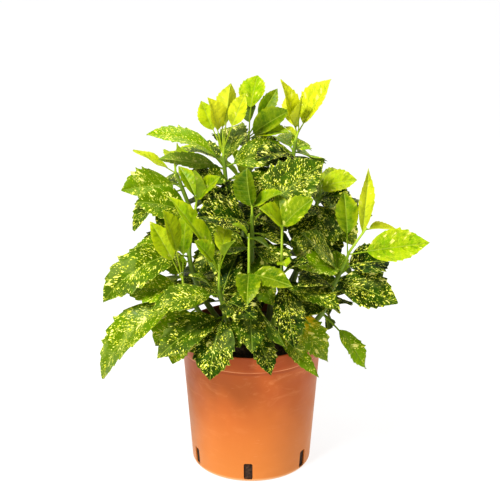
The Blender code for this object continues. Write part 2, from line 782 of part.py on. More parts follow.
def asked_leaves(entries, route, form, draw):
    """The leaves that a stem's table asks for, hand-placed ones first."""
    for entry in sorted(entries, key=lambda e: e[0] == "whorl"):
        if entry[0] == "leaf":
            _, height, tip, width, droop, roll, petiole = entry
            yield make_leaf(at_height(route, height * MM), Vector(tip) * MM, width, droop, roll,
                            petiole, form, draw)
            continue
        _, height, count, first, length, width, rise, droop = entry
        for k in range(count):
            azimuth = radians(first + 360 / count * k + draw.uniform(-12, 12))
            climb = radians(rise + draw.uniform(-10, 10))
            reach = length * MM * draw.uniform(0.9, 1.08)
            out = Vector((cos(azimuth) * cos(climb), sin(azimuth) * cos(climb), sin(climb)))
            base = at_height(route, (height - RING_STEP * k) * MM)
            yield make_leaf(base, base + out * reach, width * draw.uniform(0.9, 1.08),
                            droop + draw.uniform(-8, 12), draw.uniform(-16, 16), 0.15,
                            INNER_FORM if form is OLD_FORM else form, draw)


def make_leaf(base, tip, width, droop, roll, petiole, form, draw):
    """A leaf with its own small irregularities."""
    return Leaf(
        tuple(base), tuple(tip), width * MM, max(droop, 4), roll, petiole,
        form.fold * draw.uniform(0.6, 1.4), form.wave * draw.uniform(0.6, 1.5),
        draw.uniform(0, 1), draw.uniform(-14, 14), form,
    )


def lay_out():
    """Every stem and leaf of the plant: {node: (route, radii, leaves)}, all of them clear."""
    draw = Random(SEED)
    plan, trees = {}, []
    for name, (points, entries) in OLD_STEMS.items():
        plan[name] = (smooth_route(points), OLD_RADIUS, [], entries, OLD_FORM)
    for name, (carrier, points, entries) in YOUNG_SHOOTS.items():
        top, below = plan[carrier][0][-1], plan[carrier][0][-2]
        lean = (top - below).normalized()
        seat = top + lean * SEAT_GAP
        route = [seat, seat + lean * FIRST_STRETCH] + [Vector(p) * MM for p in points]
        plan[name] = (route, YOUNG_RADIUS, [], entries, YOUNG_FORM)
    trees.append(("pot", *tree_of(*turned_surface(pot_profile(), POT_SIDES))))
    for name, (route, radii, *_) in plan.items():
        trees.append((name, *tree_of(*tube(route, radii))))
    for kind in ("leaf", "whorl"):
        for name, (route, _, leaves, entries, form) in plan.items():
            wanted = [entry for entry in entries if entry[0] == kind]
            for one in asked_leaves(wanted, route, form, draw):
                others = [(tree, low, high, owner == name) for owner, tree, low, high in trees]
                clear = settle(one, others, draw)
                if clear is None:
                    continue
                leaves.append(clear)
                vertices, faces, shares = leaf_mesh(clear)
                trees.append((name, *tree_of(vertices, faces)))
    return {name: (route, radii, leaves) for name, (route, radii, leaves, *_) in plan.items()}


def build_foliage():
    """One fused solid for each leafy old stem and for each young shoot."""
    for name, (route, radii, leaves) in lay_out().items():
        stem = make_object(name, *tube(route, radii))
        parts = new_collection(f"leaves_{name}")
        for k, one in enumerate(leaves):
            vertices, faces, _ = leaf_mesh(one)
            make_object(f"{name}_leaf_{k}", vertices, faces, parts)
        combine(stem, parts, "UNION")
        shade_smooth(stem, 60)
        young = name.startswith("shoot")
        colour = (0.38, 0.52, 0.02) if young else (0.09, 0.16, 0.015)
        stem.data.materials.clear()
        stem.data.materials.append(make_material(name, colour, 0.4))


def main():
    for thing in list(bpy.data.objects):
        bpy.data.objects.remove(thing)
    build_pot()
    build_soil()
    build_foliage()


main()
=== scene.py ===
"""Looks for the potted spotted laurel: fine leaves with veins, teeth and yellow flecks, green
stems, crumbly soil and a moulded plastic pot, in a bright studio.

Metres, +Z up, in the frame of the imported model. The tables of stems and leaves and the pass that
lays them out say the same as the part's source, so each fine leaf lies where the solid one is.
"""

import json
from collections import namedtuple
from math import cos, pi, radians, sin, sqrt
from random import Random

import bmesh
import bpy
import numpy as np
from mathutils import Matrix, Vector
from mathutils.bvhtree import BVHTree

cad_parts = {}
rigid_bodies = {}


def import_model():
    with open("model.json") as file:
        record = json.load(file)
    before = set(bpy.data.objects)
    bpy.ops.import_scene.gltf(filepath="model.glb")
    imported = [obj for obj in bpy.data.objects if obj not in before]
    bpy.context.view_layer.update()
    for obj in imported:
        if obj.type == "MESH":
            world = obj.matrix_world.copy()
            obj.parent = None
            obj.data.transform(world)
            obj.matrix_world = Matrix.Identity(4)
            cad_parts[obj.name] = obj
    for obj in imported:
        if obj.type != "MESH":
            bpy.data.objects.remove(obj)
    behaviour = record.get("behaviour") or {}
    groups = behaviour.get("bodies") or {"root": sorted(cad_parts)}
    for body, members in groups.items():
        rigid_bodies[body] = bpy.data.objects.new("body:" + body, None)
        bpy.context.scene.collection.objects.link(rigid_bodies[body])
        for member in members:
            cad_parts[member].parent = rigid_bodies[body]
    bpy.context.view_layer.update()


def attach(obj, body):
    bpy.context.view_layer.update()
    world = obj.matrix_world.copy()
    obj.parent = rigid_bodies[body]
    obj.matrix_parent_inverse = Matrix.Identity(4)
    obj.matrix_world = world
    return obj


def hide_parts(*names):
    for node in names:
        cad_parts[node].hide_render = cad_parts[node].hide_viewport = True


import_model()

MM = 0.001
GAP = 0.3 * MM

# Camera: a long lens a little over 2 m away that looks down on the plant
CAMERA_PLACE = (-2.2 * MM, -2.0, 1.106)
CAMERA_DOWN = 20.14
CAMERA_LENS = 94.03
CAMERA_SENSOR = 36.0

# Studio: the sky's light, the floor's, and each light's name, place, target, size and power
SKY_COLOUR, SKY_STRENGTH = (1, 0.98, 0.82, 1), 0.09
FLOOR_GREY, FLOOR_GLOW = (0.2, 0.2, 0.2, 1), 0.70
FLOOR_HALF, FLOOR_FRONT, FLOOR_BACK, FLOOR_BEND, FLOOR_TOP = 14.0, -16.0, 2.0, 1.6, 6.0
LIGHTS = (
    ("key", (-1.3, -1.6, 2.5), (0, 0, 0.35), 0.8, 112),
    ("fill", (1.9, -1.6, 1.1), (0, 0, 0.3), 1.6, 12),
    ("front", (-0.2, -2.9, 0.45), (0, 0, 0.25), 1.4, 15),
    ("back", (0.3, 0.9, 2.4), (0, 0, 0.45), 1.2, 24),
)

# Pot: a round nursery container with a collar, a rounded foot and six slots
POT_HEIGHT = 233 * MM
RIM_RADIUS = 117.5 * MM
COLLAR = POT_HEIGHT - 28 * MM
COLLAR_PROUD = 1.8 * MM
FOOT_RADIUS = 100.5 * MM
FOOT_ROUND = 4 * MM
WALL = 2.2 * MM
FLOOR = 2.8 * MM
LIP = 1.1 * MM
POT_SIDES, FINE_POT_SIDES = 38, 144
POT_SHARP = 40
SLOT_COUNT = 6
SLOT_WIDTH = 14.5 * MM
SLOT_HEIGHT = 31 * MM
SLOT_LIFT = 3.8 * MM
SLOT_CORNER = 3 * MM
SLOT_FIRST = radians(-93)

# Soil: fills the pot to a little under the rim
SOIL_TOP = 218 * MM
SOIL_LUMP = 2.5 * MM
SOIL_FINE_LUMP = 0.6 * MM
SOIL_SIDES, SOIL_RINGS = 96, 40
CRUMBS = 900
CRUMB_SIZES = (0.8, 2.6)

# Stems
OLD_RADIUS = (5.6 * MM, 3.4 * MM)
YOUNG_RADIUS = (2.6 * MM, 1.7 * MM)
STEM_SIDES, FINE_STEM_SIDES = 5, 12
STEM_FOOT, STEM_STRAIGHT = 192, 227
ROUTE_SPACING, FINE_SPACING = 46 * MM, 9 * MM
SEAT_GAP = 0.4 * MM
FIRST_STRETCH = 5 * MM
FINE_STEM_SIZE = 0.93
JOINT_SPACING, JOINT_SWELL = 48 * MM, 0.10

# Blades: share of each edge point along the blade, and how far it stands out of the oval
Form = namedtuple("Form", "edge rib petiole_half petiole_deep rim_deep rib_deep fold wave")
OLD_FORM = Form(
    edge=((0.18, 1.05), (0.47, 1.08), (0.52, 0.94), (0.71, 1.15), (0.76, 0.84)),
    rib=(0.34, 0.66),
    petiole_half=1.8 * MM, petiole_deep=3.0 * MM, rim_deep=0.8 * MM, rib_deep=1.7 * MM,
    fold=14, wave=2.0 * MM,
)
INNER_FORM = OLD_FORM._replace(
    edge=((0.16, 1.04), (0.40, 1.03), (0.64, 1.10), (0.69, 0.90)), rib=(0.5,),
)
YOUNG_FORM = Form(
    edge=((0.16, 1.0), (0.40, 1.03), (0.66, 1.12), (0.71, 0.90)),
    rib=(0.50,),
    petiole_half=1.3 * MM, petiole_deep=2.2 * MM, rim_deep=0.7 * MM, rib_deep=1.3 * MM,
    fold=24, wave=1.2 * MM,
)
OVAL_RISE, OVAL_FALL = 0.72, 0.82
WAVES = 1.6

# Clearing: a leaf that would cross another is turned a little until it lies clear
CLEARANCE = 1.2 * MM
CLEAR_TRIES = 150
CLEAR_TURN = 26
CLEAR_SPIN = 1.5
CLEAR_SHORTEST = 0.72
ROOT_SHARE = 0.24

# Irregularities: of the rings of leaves placed by rule, and of every leaf
RING_STEP, RING_PETIOLE = 2.3, 0.15
RING_TURN, RING_CLIMB, RING_ROLL = 12, 10, 16
RING_SIZES, RING_DROOPS = (0.9, 1.08), (-8, 12)
LEAF_FOLDS, LEAF_WAVES, LEAF_TWIST = (0.6, 1.4), (0.6, 1.5), 14
LEAST_DROOP = 4
SEED = 7

# Fine blades: their oval, and the veins that reach the edge, by share along and size of tooth
BLADE_RISE, BLADE_FALL, BLADE_TIP = 0.80, 0.95, 0.30
TIP_FROM, TIP_LONG = 0.72, 0.28
VEINS = (
    (0.11, 0.0), (0.23, 0.0), (0.35, 0.25), (0.475, 0.75), (0.595, 1.0), (0.705, 1.0),
    (0.805, 0.85), (0.89, 0.5),
)
VEIN_LEAN = 0.11
LAST_VEIN = 0.955
TOOTH_SHIFT, TOOTH_SIZES = 0.014, (0.6, 1.3)
ACROSS = (0.0, 0.09, 0.30, 0.55, 0.80, 1.0)
RIB_SIDES = 8
RIB_SINK = 0.35 * MM
RIB_LEAST = 0.22 * MM

Look = namedtuple("Look", "tooth quilt thick edge_thick rib curl")
OLD_LOOK = Look(tooth=0.17, quilt=1.1 * MM, thick=0.55 * MM, edge_thick=0.40 * MM,
                rib=1.25 * MM, curl=0.30)
YOUNG_LOOK = Look(tooth=0.10, quilt=0.8 * MM, thick=0.45 * MM, edge_thick=0.35 * MM,
                  rib=0.85 * MM, curl=0.10)

Leaf = namedtuple("Leaf", "base tip width droop roll petiole fold wave phase twist form")

# A leaf: height on its stem, x, y and z of its tip, width, droop, roll, petiole's share; all in mm
# or degrees, and what is left out at its end is as in LEAF_REST. A ring of leaves placed by rule:
# height, count, azimuth of the first with 90 the back, length, width, rise and droop.
LEAF_REST = (35, 0, 0.14)

# Old stems: the route, its foot's x and y and then the points up to its top; leaves; rings
OLD_STEMS = {
    "stem_top_left": ([(-19, 0), (-29, -10, 362), (-44, -10, 532)],
        [(518, -163, -40, 577, 52, 60, -12), (514, -149, 10, 524, 34, 20, 65),
         (492, -119, 35, 482, 46, 35, -10), (522, -109, 75, 522, 50, 40),
         (517, -14, 85, 562, 46, 40), (517, 66, 20, 532, 60, 35, 35),
         (497, -24, -90, 457, 48, 40, 40), (494, 1, -60, 512, 18, 25, 20),
         (482, -78, -45, 466, 52, 40, -15), (312, -94, -15, 271, 54, 40, -15),
         (502, -71, -30, 514, 40, 30, -20), (412, -98, -35, 399, 44, 35, -30),
         (402, -96, -55, 355, 56, 40, -20), (352, -108, 10, 298, 56, 40, -15)],
        [(422, 3, 150, 115, 58, -25, 40)]),
    "stem_top_middle": ([(1, 25), (1, 40, 382), (-4, 40, 542)],
        [(527, -59, 150, 517, 54, 45), (527, 61, 150, 512, 54, 45), (307, 27, -15, 267, 50, 40, 10),
         (392, 17, -40, 332, 60, 45, 10), (332, -43, -20, 298, 54, 45, -15)],
        [(452, 3, 30, 115, 58, -20, 40)]),
    "stem_centre": ([(1, -10), (1, -50, 332), (1, -90, 462)],
        [(452, 111, -70, 542, 84, 40, 55), (447, -83, -160, 482, 76, 35, -40),
         (432, 67, -60, 400, 58, 30, 20), (402, -69, -140, 417, 54, 35, -20),
         (407, 70, -120, 397, 54, 35, 20), (377, 50, -135, 335, 52, 40, 15)], []),
    "stem_front_left": ([(-19, -35), (-39, -100, 292), (-49, -145, 362)],
        [(307, -64, -170, 220, 70, 60), (337, 11, -195, 337, 60, 40, 12),
         (352, -154, -170, 337, 52, 40, -25), (302, -146, -165, 254, 56, 60, -28),
         (352, -94, -170, 397, 30, 25, -15), (342, -19, -90, 402, 52, 30),
         (292, -14, -150, 272, 56, 40, 20)], []),
    "stem_front": ([(1, -45), (-4, -105, 292), (-4, -150, 377)],
        [(337, 1, -185, 272, 44, 60), (352, 56, -165, 271, 32, 20, 110),
         (287, 31, -155, 220, 38, 50, 10), (347, -58, -95, 377, 50, 25, -30),
         (357, 53, -90, 379, 52, 30, 20)], []),
    "stem_front_right": ([(21, -35), (41, -90, 302), (46, -140, 392)],
        [(372, 66, -190, 282, 48, 60, 15), (307, 121, -130, 232, 60, 45, 25),
         (267, 107, -130, 205, 26, 40, 40), (382, 86, -170, 417, 40, 30, 20),
         (352, 130, -170, 331, 52, 40, 10)], []),
    "stem_right": ([(46, -20), (81, -50, 252), (111, -70, 287), (131, -85, 347), (146, -90, 382)],
        [(354, 229, -110, 323, 74, 24, 38, 0.05), (374, 218, -65, 376, 60, 50, 35),
         (372, 71, -155, 402, 46, 30, -30), (362, 68, -125, 444, 54, 30, -35),
         (342, 66, -160, 367, 54, 30, -30), (322, 81, -150, 317, 50, 40, -15),
         (302, 161, -30, 292, 46, 45), (294, 124, -60, 257, 32, 40, 10),
         (292, 184, -100, 206, 36, 35, 24, 0.34), (312, 196, -10, 322, 52, 45),
         (352, 134, -60, 395, 40, 30, 10)], []),
    "stem_left": ([(-44, -20), (-79, -70, 287), (-104, -115, 352)],
        [(342, -202, -105, 346, 52, 40, -50), (327, -235, -125, 200, 68, 98, -32, 0.16),
         (294, -125, -105, 217, 54, 45, -18), (304, -153, -85, 240, 58, 45, -38),
         (337, -159, -10, 302, 54, 45)], []),
    "stem_left_back": ([(-44, 10), (-79, -30, 302), (-99, -50, 382), (-89, -35, 452)],
        [(380, -230, -130, 333, 64, 104, -28), (387, -199, -40, 382, 50, 45, -20),
         (444, -180, -65, 476, 62, 45, -42), (417, -153, -35, 448, 54, 20, -62),
         (352, -122, -10, 333, 46, 40, -10), (372, -141, -60, 364, 40, 30, -40)],
        [(342, 2, 130, 115, 58, -25, 40)]),
    "stem_top_right": ([(26, 5), (46, 5, 382), (70, 10, 552)],
        [(532, 72, -80, 503, 56, 45), (537, 108, 65, 501, 60, 25, 20), (537, 36, 105, 532, 46, 40),
         (532, 6, -50, 537, 50, 40, -25), (497, -9, -65, 482, 60, 40, -25),
         (312, 80, -20, 282, 50, 40, 10), (538, 82, 45, 541, 38, 35, 15),
         (422, 107, -30, 363, 60, 45, 10), (347, 123, 20, 294, 54, 45, 10)],
        [(442, 2, 60, 115, 58, -20, 40)]),
    "stem_right_back": ([(46, 25), (81, 30, 342), (111, 20, 462)],
        [(452, 110, -95, 391, 82, 45), (437, 167, -35, 392, 56, 45, 20),
         (442, 51, -55, 440, 60, 40, -25), (447, 176, 105, 407, 56, 45),
         (447, 81, 130, 432, 54, 45), (452, 161, -30, 470, 38, 40, 30),
         (402, 75, -25, 361, 56, 40, -20), (457, 128, 20, 441, 40, 30, 25),
         (427, 68, -60, 384, 36, 30, -10), (267, 152, 45, 242, 54, 45)],
        [(352, 3, 350, 118, 58, -30, 40)]),
    "stem_back_left": ([(-29, 30), (-74, 70, 342), (-124, 80, 477)],
        [(462, -208, -10, 478, 64, 8, -38), (267, -154, 40, 217, 54, 45)],
        [(457, 3, 0, 118, 58, -15, 45), (397, 3, 110, 122, 60, -28, 45),
         (322, 3, 100, 118, 58, -35, 45)]),
    "stem_back_right": ([(31, 45), (81, 90, 312), (111, 120, 402)],
        [(277, 141, 60, 232, 54, 45)],
        [(387, 4, 20, 118, 60, -15, 45), (327, 3, 60, 122, 60, -28, 45)]),
    "stem_back": ([(1, 50), (-9, 110, 332), (-14, 145, 432)],
        [(302, -19, 215, 242, 56, 45)],
        [(417, 4, 80, 118, 60, -15, 45), (357, 3, 100, 122, 60, -28, 45)]),
}

# Young shoots: the same, with the route above the stem that carries the shoot
YOUNG_SHOOTS = {
    "shoot_top_left": ([(-44, -10, 550)],
        [(539, -67, -25, 633, 44, 10, -62, 0.42), (543, -32, -5, 651, 38, 10, -85, 0.42),
         (541, -79, 10, 619, 32, 20, -70, 0.44), (545, -48, 38, 613, 28, 20, 0, 0.44),
         (547, -10, -10, 636, 30, 12, 80, 0.42)], []),
    "shoot_top_middle": ([(-4, 40, 562)],
        [(559, 11, 85, 643, 48, 35, -10, 0.42), (556, 41, 60, 628, 28, 20, 60, 0.36),
         (553, 63, 25, 600, 46, 20, 55, 0.12), (550, 51, 0, 571, 34, 40, 30, 0.15),
         (555, -2, 75, 606, 30, 20, -40, 0.36)], []),
    "shoot_top_right": ([(76, 10, 574)],
        [(564, 46, 0, 656, 36, 12, -60, 0.12), (571, 118, 0, 659, 55, 4, 50),
         (569, 75, -25, 638, 30, 15, 60), (560, 51, 30, 572, 16, 20, 0, 0.1),
         (564, 56, 60, 617, 30, 20, 0, 0.2)], []),
    "shoot_right_back": ([(111, 20, 482)],
        [(472, 171, 0, 488, 42, 40, 50, 0.06), (478, 155, 70, 482, 36, 30, 0, 0.15),
         (476, 90, 60, 484, 34, 30, 0, 0.15)], []),
    "shoot_right": ([(151, -95, 402), (178, -95, 444)],
        [(397, 143, -70, 495, 40, 20, 0, 0.36), (434, 179, -85, 537, 26, 4, 50, 0.04),
         (442, 227, -62, 430, 26, 15, 15, 0.12), (400, 272, -130, 432, 59, 6, 52, 0.24)], []),
    "shoot_left": ([(-107, -119, 374)],
        [(366, -153, -134, 468, 34, 15, -70, 0.36), (370, -133, -150, 492, 40, 15, -80, 0.42),
         (368, -99, -90, 472, 32, 25, 0, 0.36)], []),
    "shoot_left_back": ([(-86, -38, 474)],
        [(468, -90, -60, 526, 38, 20, -60, 0.08), (470, -61, -75, 528, 34, 10, 65, 0.08),
         (469, -114, -5, 517, 32, 30, 0, 0.12)], []),
    "shoot_front_left": ([(-49, -148, 404)],
        [(394, -125, -152, 514, 44, 25, -30, 0.2), (400, -34, -125, 472, 32, 15, 0, 0.3),
         (396, -24, -170, 450, 26, 30, 0, 0.4), (392, -85, -180, 454, 36, 20, -60, 0.35)], []),
    "shoot_centre": ([(1, -90, 482)],
        [(474, -7, -80, 536, 50, 20, -80, 0.06), (476, 47, -118, 508, 32, 20, 40, 0.08)], []),
    "shoot_front_right": ([(46, -140, 412), (46, -140, 464)],
        [(458, 11, -165, 499, 44, 40, -40, 0.06), (460, 93, -138, 505, 46, 35, 40, 0.06),
         (456, 41, -104, 502, 30, 20, 0, 0.1), (406, 59, -178, 396, 22, 30, 0, 0.12)], []),
    "shoot_front": ([(-4, -150, 402), (-4, -150, 454)],
        [(390, 61, -205, 390, 38, 20, 35, 0.12), (392, -7, -216, 364, 42, 50, 0, 0.12),
         (448, 27, -176, 438, 16, 30, 0, 0.1), (450, -29, -168, 472, 22, 30, 0, 0.2)], []),
    "shoot_back_left": ([(-127, 83, 496)],
        [(480, -194, 62, 524, 26, 8, -20, 0.2), (492, -122, 72, 533, 44, 10, -80, 0.1),
         (488, -138, 140, 500, 34, 30, 0, 0.2), (490, -90, 122, 514, 34, 30, 0, 0.2)], []),
    "shoot_back_right": ([(116, 125, 422)],
        [], [(414, 3, 20, 72, 36, 45, 25), (418, 2, 100, 62, 32, 60, 15)]),
    "shoot_back": ([(-14, 150, 452)],
        [], [(444, 3, 60, 78, 38, 45, 25), (448, 2, 150, 68, 32, 66, 15)]),
}

# How light and how flecked the leaves of each stem are, and how yellow each shoot is
# The lightness is partly the leaves' own colour and partly painted light and shade: darker on the
# shaded right
OLD_TONES = {
    "stem_left": (0.4, 1.1), "stem_left_back": (0.4, 1.15), "stem_front_left": (0.15, 1.05),
    "stem_centre": (0.2, 1.1), "stem_top_left": (0.4, 1.1), "stem_top_right": (0.45, 1.15),
    "stem_right": (0.05, 1.1), "stem_right_back": (0.05, 1.2), "stem_front": (0.1, 1.1),
    "stem_front_right": (0.1, 1.15),
}
OLD_TONE = (0.2, 1.05)
YOUNG_TONES = {
    "shoot_top_left": 0.85, "shoot_top_middle": 0.6, "shoot_top_right": 0.9, "shoot_right": 0.75,
    "shoot_right_back": 0.5, "shoot_left": 0.5, "shoot_left_back": 0.45,
    "shoot_front_left": 0.4, "shoot_centre": 0.2, "shoot_front_right": 0.5, "shoot_front": 0.3,
}
YOUNG_TONE = 0.5
TONE_LEAST, TONE_MOST = -1, 1.2

# How far a leaf departs from them
OLD_VARY, OLD_FLECKS = 0.15, (-0.25, 0.2)
YOUNG_VARY, YOUNG_FLECKS = 0.2, (0.3, 1.0)

# Painted shade: leaves deep in the crown are made darker
CROWN_INSIDE, CROWN_TOP, CROWN_FADE, CROWN_SHADE_PAINT = 110 * MM, 520 * MM, 100 * MM, 0.9

# Single leaves with a tone and a share of flecks of their own, by their height on the stem in mm
# Each tone is partly the leaf's own colour, partly painted light and shade; a tone under 0 is
# painted shade
LEAF_TONES = {
    "shoot_top_left": {539: (1.0, 0.9), 541: (0.7, 0.7), 543: (1.0, 1.0), 547: (0.85, 0.8)},
    "shoot_top_middle": {550: (0.4, 0.6), 553: (0.1, 0.5), 555: (-0.3, 0.3), 556: (0.15, 0.5),
                         559: (0.52, 1.1)},
    "shoot_top_right": {564: (0.95, 0.8), 569: (0.95, 0.6), 571: (0.9, 1.2)},
    "shoot_right": {397: (0.25, 0.5), 400: (0.5, 1.5), 434: (0.85, 0.9), 442: (0.9, 0.8)},
    "shoot_right_back": {472: (0.65, 1.0)},
    "shoot_left": {368: (0.3, 0.5), 370: (0.72, 1.1)},
    "shoot_left_back": {469: (0.4, 0.6), 470: (0.4, 0.5)},
    "shoot_back_left": {480: (0.8, 1.2)},
    "shoot_front_left": {392: (0.5, 1.0), 394: (0.55, 0.6), 400: (0.72, 1.1)},
    "shoot_centre": {474: (0.0, 0.4), 476: (0.3, 0.6)},
    "shoot_front_right": {456: (0.05, 0.5), 458: (0.6, 0.6), 460: (0.2, 0.9)},
    "shoot_front": {390: (0.08, 0.9), 392: (0.12, 0.9), 448: (-0.6, 0.3)},
    "stem_left": {327: (0.55, 1.2), 294: (0.9, 1.2), 304: (1.2, 1.3), 342: (1.2, 1.3)},
    "stem_left_back": {340: (0.05, 1.1), 372: (1.2, 1.2), 380: (0.35, 1.2)},
    "stem_back_left": {462: (0.8, 1.4)},
    "stem_top_left": {497: (-0.4, 0.9), 514: (1.2, 1.2), 517: (0.4, 1.15), 518: (1.0, 1.3),
                      522: (0.2, 1.0)},
    "stem_top_right": {532: (-0.1, 1.0), 537: (1.1, 1.3), 538: (1.1, 1.3)},
    "stem_front_left": {307: (0.05, 1.0), 337: (-0.2, 0.9), 342: (-0.2, 0.9), 352: (0.3, 1.15)},
    "stem_centre": {377: (0.8, 1.3), 402: (0.5, 1.2), 447: (0.0, 1.15), 452: (0.15, 1.2)},
    "stem_front": {337: (0.1, 1.2), 347: (0.3, 1.3), 357: (0.4, 1.0)},
    "stem_front_right": {267: (0.8, 1.2), 307: (1.0, 1.6), 372: (-0.1, 1.1), 382: (-0.3, 1.0)},
    "stem_right": {292: (1.2, 1.0), 352: (1.2, 1.2), 354: (0.05, 1.25), 362: (0.3, 1.25),
                   372: (0.9, 1.0), 374: (-0.1, 0.9)},
    "stem_right_back": {402: (0.9, 1.1), 437: (0.4, 1.4), 452: (0.15, 1.35)},
}


# Shared shapes

def ring_quads(rings, sides):
    """Quads between neighbouring rings of points."""
    quads = []
    for first in range(0, (rings - 1) * sides, sides):
        for k in range(sides):
            a, b = first + k, first + (k + 1) % sides
            quads.append((a, b, b + sides, a + sides))
    return quads


def circle(sides):
    """The cosine and sine of each of a number of even turns."""
    return [(cos(2 * pi * k / sides), sin(2 * pi * k / sides)) for k in range(sides)]


def curve(before, a, b, after, t):
    """The point at t between a and b on a smooth curve."""
    return 0.5 * (
        2 * a + (b - before) * t + (2 * before - 5 * a + 4 * b - after) * t ** 2
        + (3 * a - before - 3 * b + after) * t ** 3
    )


def rings_along(route, radii, sides):
    """Rings of points round a route, each with its radius."""
    points = []
    for k, (point, radius) in enumerate(zip(route, radii)):
        ahead = (route[min(k + 1, len(route) - 1)] - route[max(k - 1, 0)]).normalized()
        side = ahead.cross(Vector((0.3, 1, 0))).normalized()
        other = ahead.cross(side)
        points += [point + radius * (c * side + s * other) for c, s in circle(sides)]
    return points


def oval(t, rise, fall):
    """Half width of a blade at t along it, as a share of its greatest half width."""
    peak = rise / (rise + fall)
    most = peak ** rise * (1 - peak) ** fall
    return t ** rise * (1 - t) ** fall / most if 0 < t < 1 else 0.0


def wall_radius(height):
    """Outer radius of the pot's body under its collar."""
    share = (height - FOOT_ROUND) / (COLLAR - FOOT_ROUND)
    return FOOT_RADIUS + (RIM_RADIUS - COLLAR_PROUD - 0.8 * MM - FOOT_RADIUS) * share


def turned_surface(profile, sides):
    """Vertices and faces turned from (radius, height) points that start and end on the axis."""
    vertices = [(0, 0, profile[0][1]), (0, 0, profile[-1][1])]
    rings = profile[1:-1]
    for radius, height in rings:
        vertices += [(radius * c, radius * s, height) for c, s in circle(sides)]
    faces = []
    last = 2 + (len(rings) - 1) * sides
    for k in range(sides):
        after = (k + 1) % sides
        faces += [(0, 2 + after, 2 + k), (1, last + k, last + after)]
        for low in range(2, last, sides):
            high = low + sides
            faces.append((low + k, low + after, high + after, high + k))
    return vertices, faces


def leaf_frames(one, shares):
    """Rib points, normals and sides of a leaf at shares along it."""
    base = np.array(one.base)
    chord = np.array(one.tip) - base
    length = np.linalg.norm(chord)
    along = chord / length
    upright = np.array((0, 0, 1.0)) - along[2] * along
    upright /= np.linalg.norm(upright)
    side = np.cross(along, upright)
    roll, droop = radians(one.roll), radians(one.droop)
    normal = upright * cos(roll) + side * sin(roll)
    side = np.cross(along, normal)
    radius = length / (2 * sin(droop / 2))
    shares = np.asarray(shares)[:, None]
    lean = droop / 2 - droop * shares
    points = base + along * radius * (sin(droop / 2) - np.sin(lean))
    points = points + normal * radius * (np.cos(lean) - cos(droop / 2))
    up = normal * np.cos(lean) - along * np.sin(lean)
    turn = np.radians(one.twist) * shares
    return points, up * np.cos(turn) + side * np.sin(turn), side * np.cos(turn) - up * np.sin(turn)


# Laying out, as in the part's source

def pot_profile():
    """Radius and height of the pot's outline, out from its underside and back in over the rim."""
    return [
        (0, 0),
        *((FOOT_RADIUS - FOOT_ROUND * (1 - sin(a)), FOOT_ROUND * (1 - cos(a)))
          for a in (0, pi / 6, pi / 3, pi / 2)),
        (wall_radius(COLLAR), COLLAR),
        (RIM_RADIUS - 0.8 * MM, COLLAR + 1.2 * MM),
        (RIM_RADIUS, POT_HEIGHT - LIP),
        (RIM_RADIUS - LIP, POT_HEIGHT),
        (RIM_RADIUS - WALL, POT_HEIGHT - 0.4 * MM),
        *inner_profile(),
    ]


def inner_profile():
    """The inside of the pot's outline, under its rim."""
    return [
        (wall_radius(COLLAR) - WALL + 0.9 * MM, COLLAR + 1.5 * MM),
        (wall_radius(COLLAR) - WALL, COLLAR - 2 * MM),
        (FOOT_RADIUS - WALL, FOOT_ROUND), (FOOT_RADIUS - FOOT_ROUND, FLOOR), (0, FLOOR),
    ]


def smooth_route(points):
    """Points along a smooth curve through the route, straight in its first stretch."""
    given = [Vector(p) * MM for p in points]
    route = given[:2]
    ends = given[3:] + [given[-1] * 2 - given[-2]]
    for before, a, b, after in zip(given, given[1:], given[2:], ends):
        steps = max(1, round((b - a).length / ROUTE_SPACING))
        route += [curve(before, a, b, after, step / steps) for step in range(1, steps + 1)]
    return route


def at_height(route, height):
    """The point of a route at a height."""
    for a, b in zip(route, route[1:]):
        if a.z <= height <= b.z:
            return a.lerp(b, (height - a.z) / (b.z - a.z))
    return route[-1].copy() if height > route[-1].z else route[0].copy()


def tube(route, radii):
    """Vertices and triangles of a capped tube that narrows along its route."""
    last = len(route) - 1
    steady = [radii[0] + (radii[1] - radii[0]) * k / last for k in range(last + 1)]
    vertices = rings_along(route, steady, STEM_SIDES)
    faces = []
    for a, b, c, d in ring_quads(len(route), STEM_SIDES):
        faces += [(a, b, c), (a, c, d)]
    last = len(vertices) - STEM_SIDES
    for j in range(1, STEM_SIDES - 1):
        faces += [(0, j + 1, j), (last, last + j, last + j + 1)]
    return vertices, faces


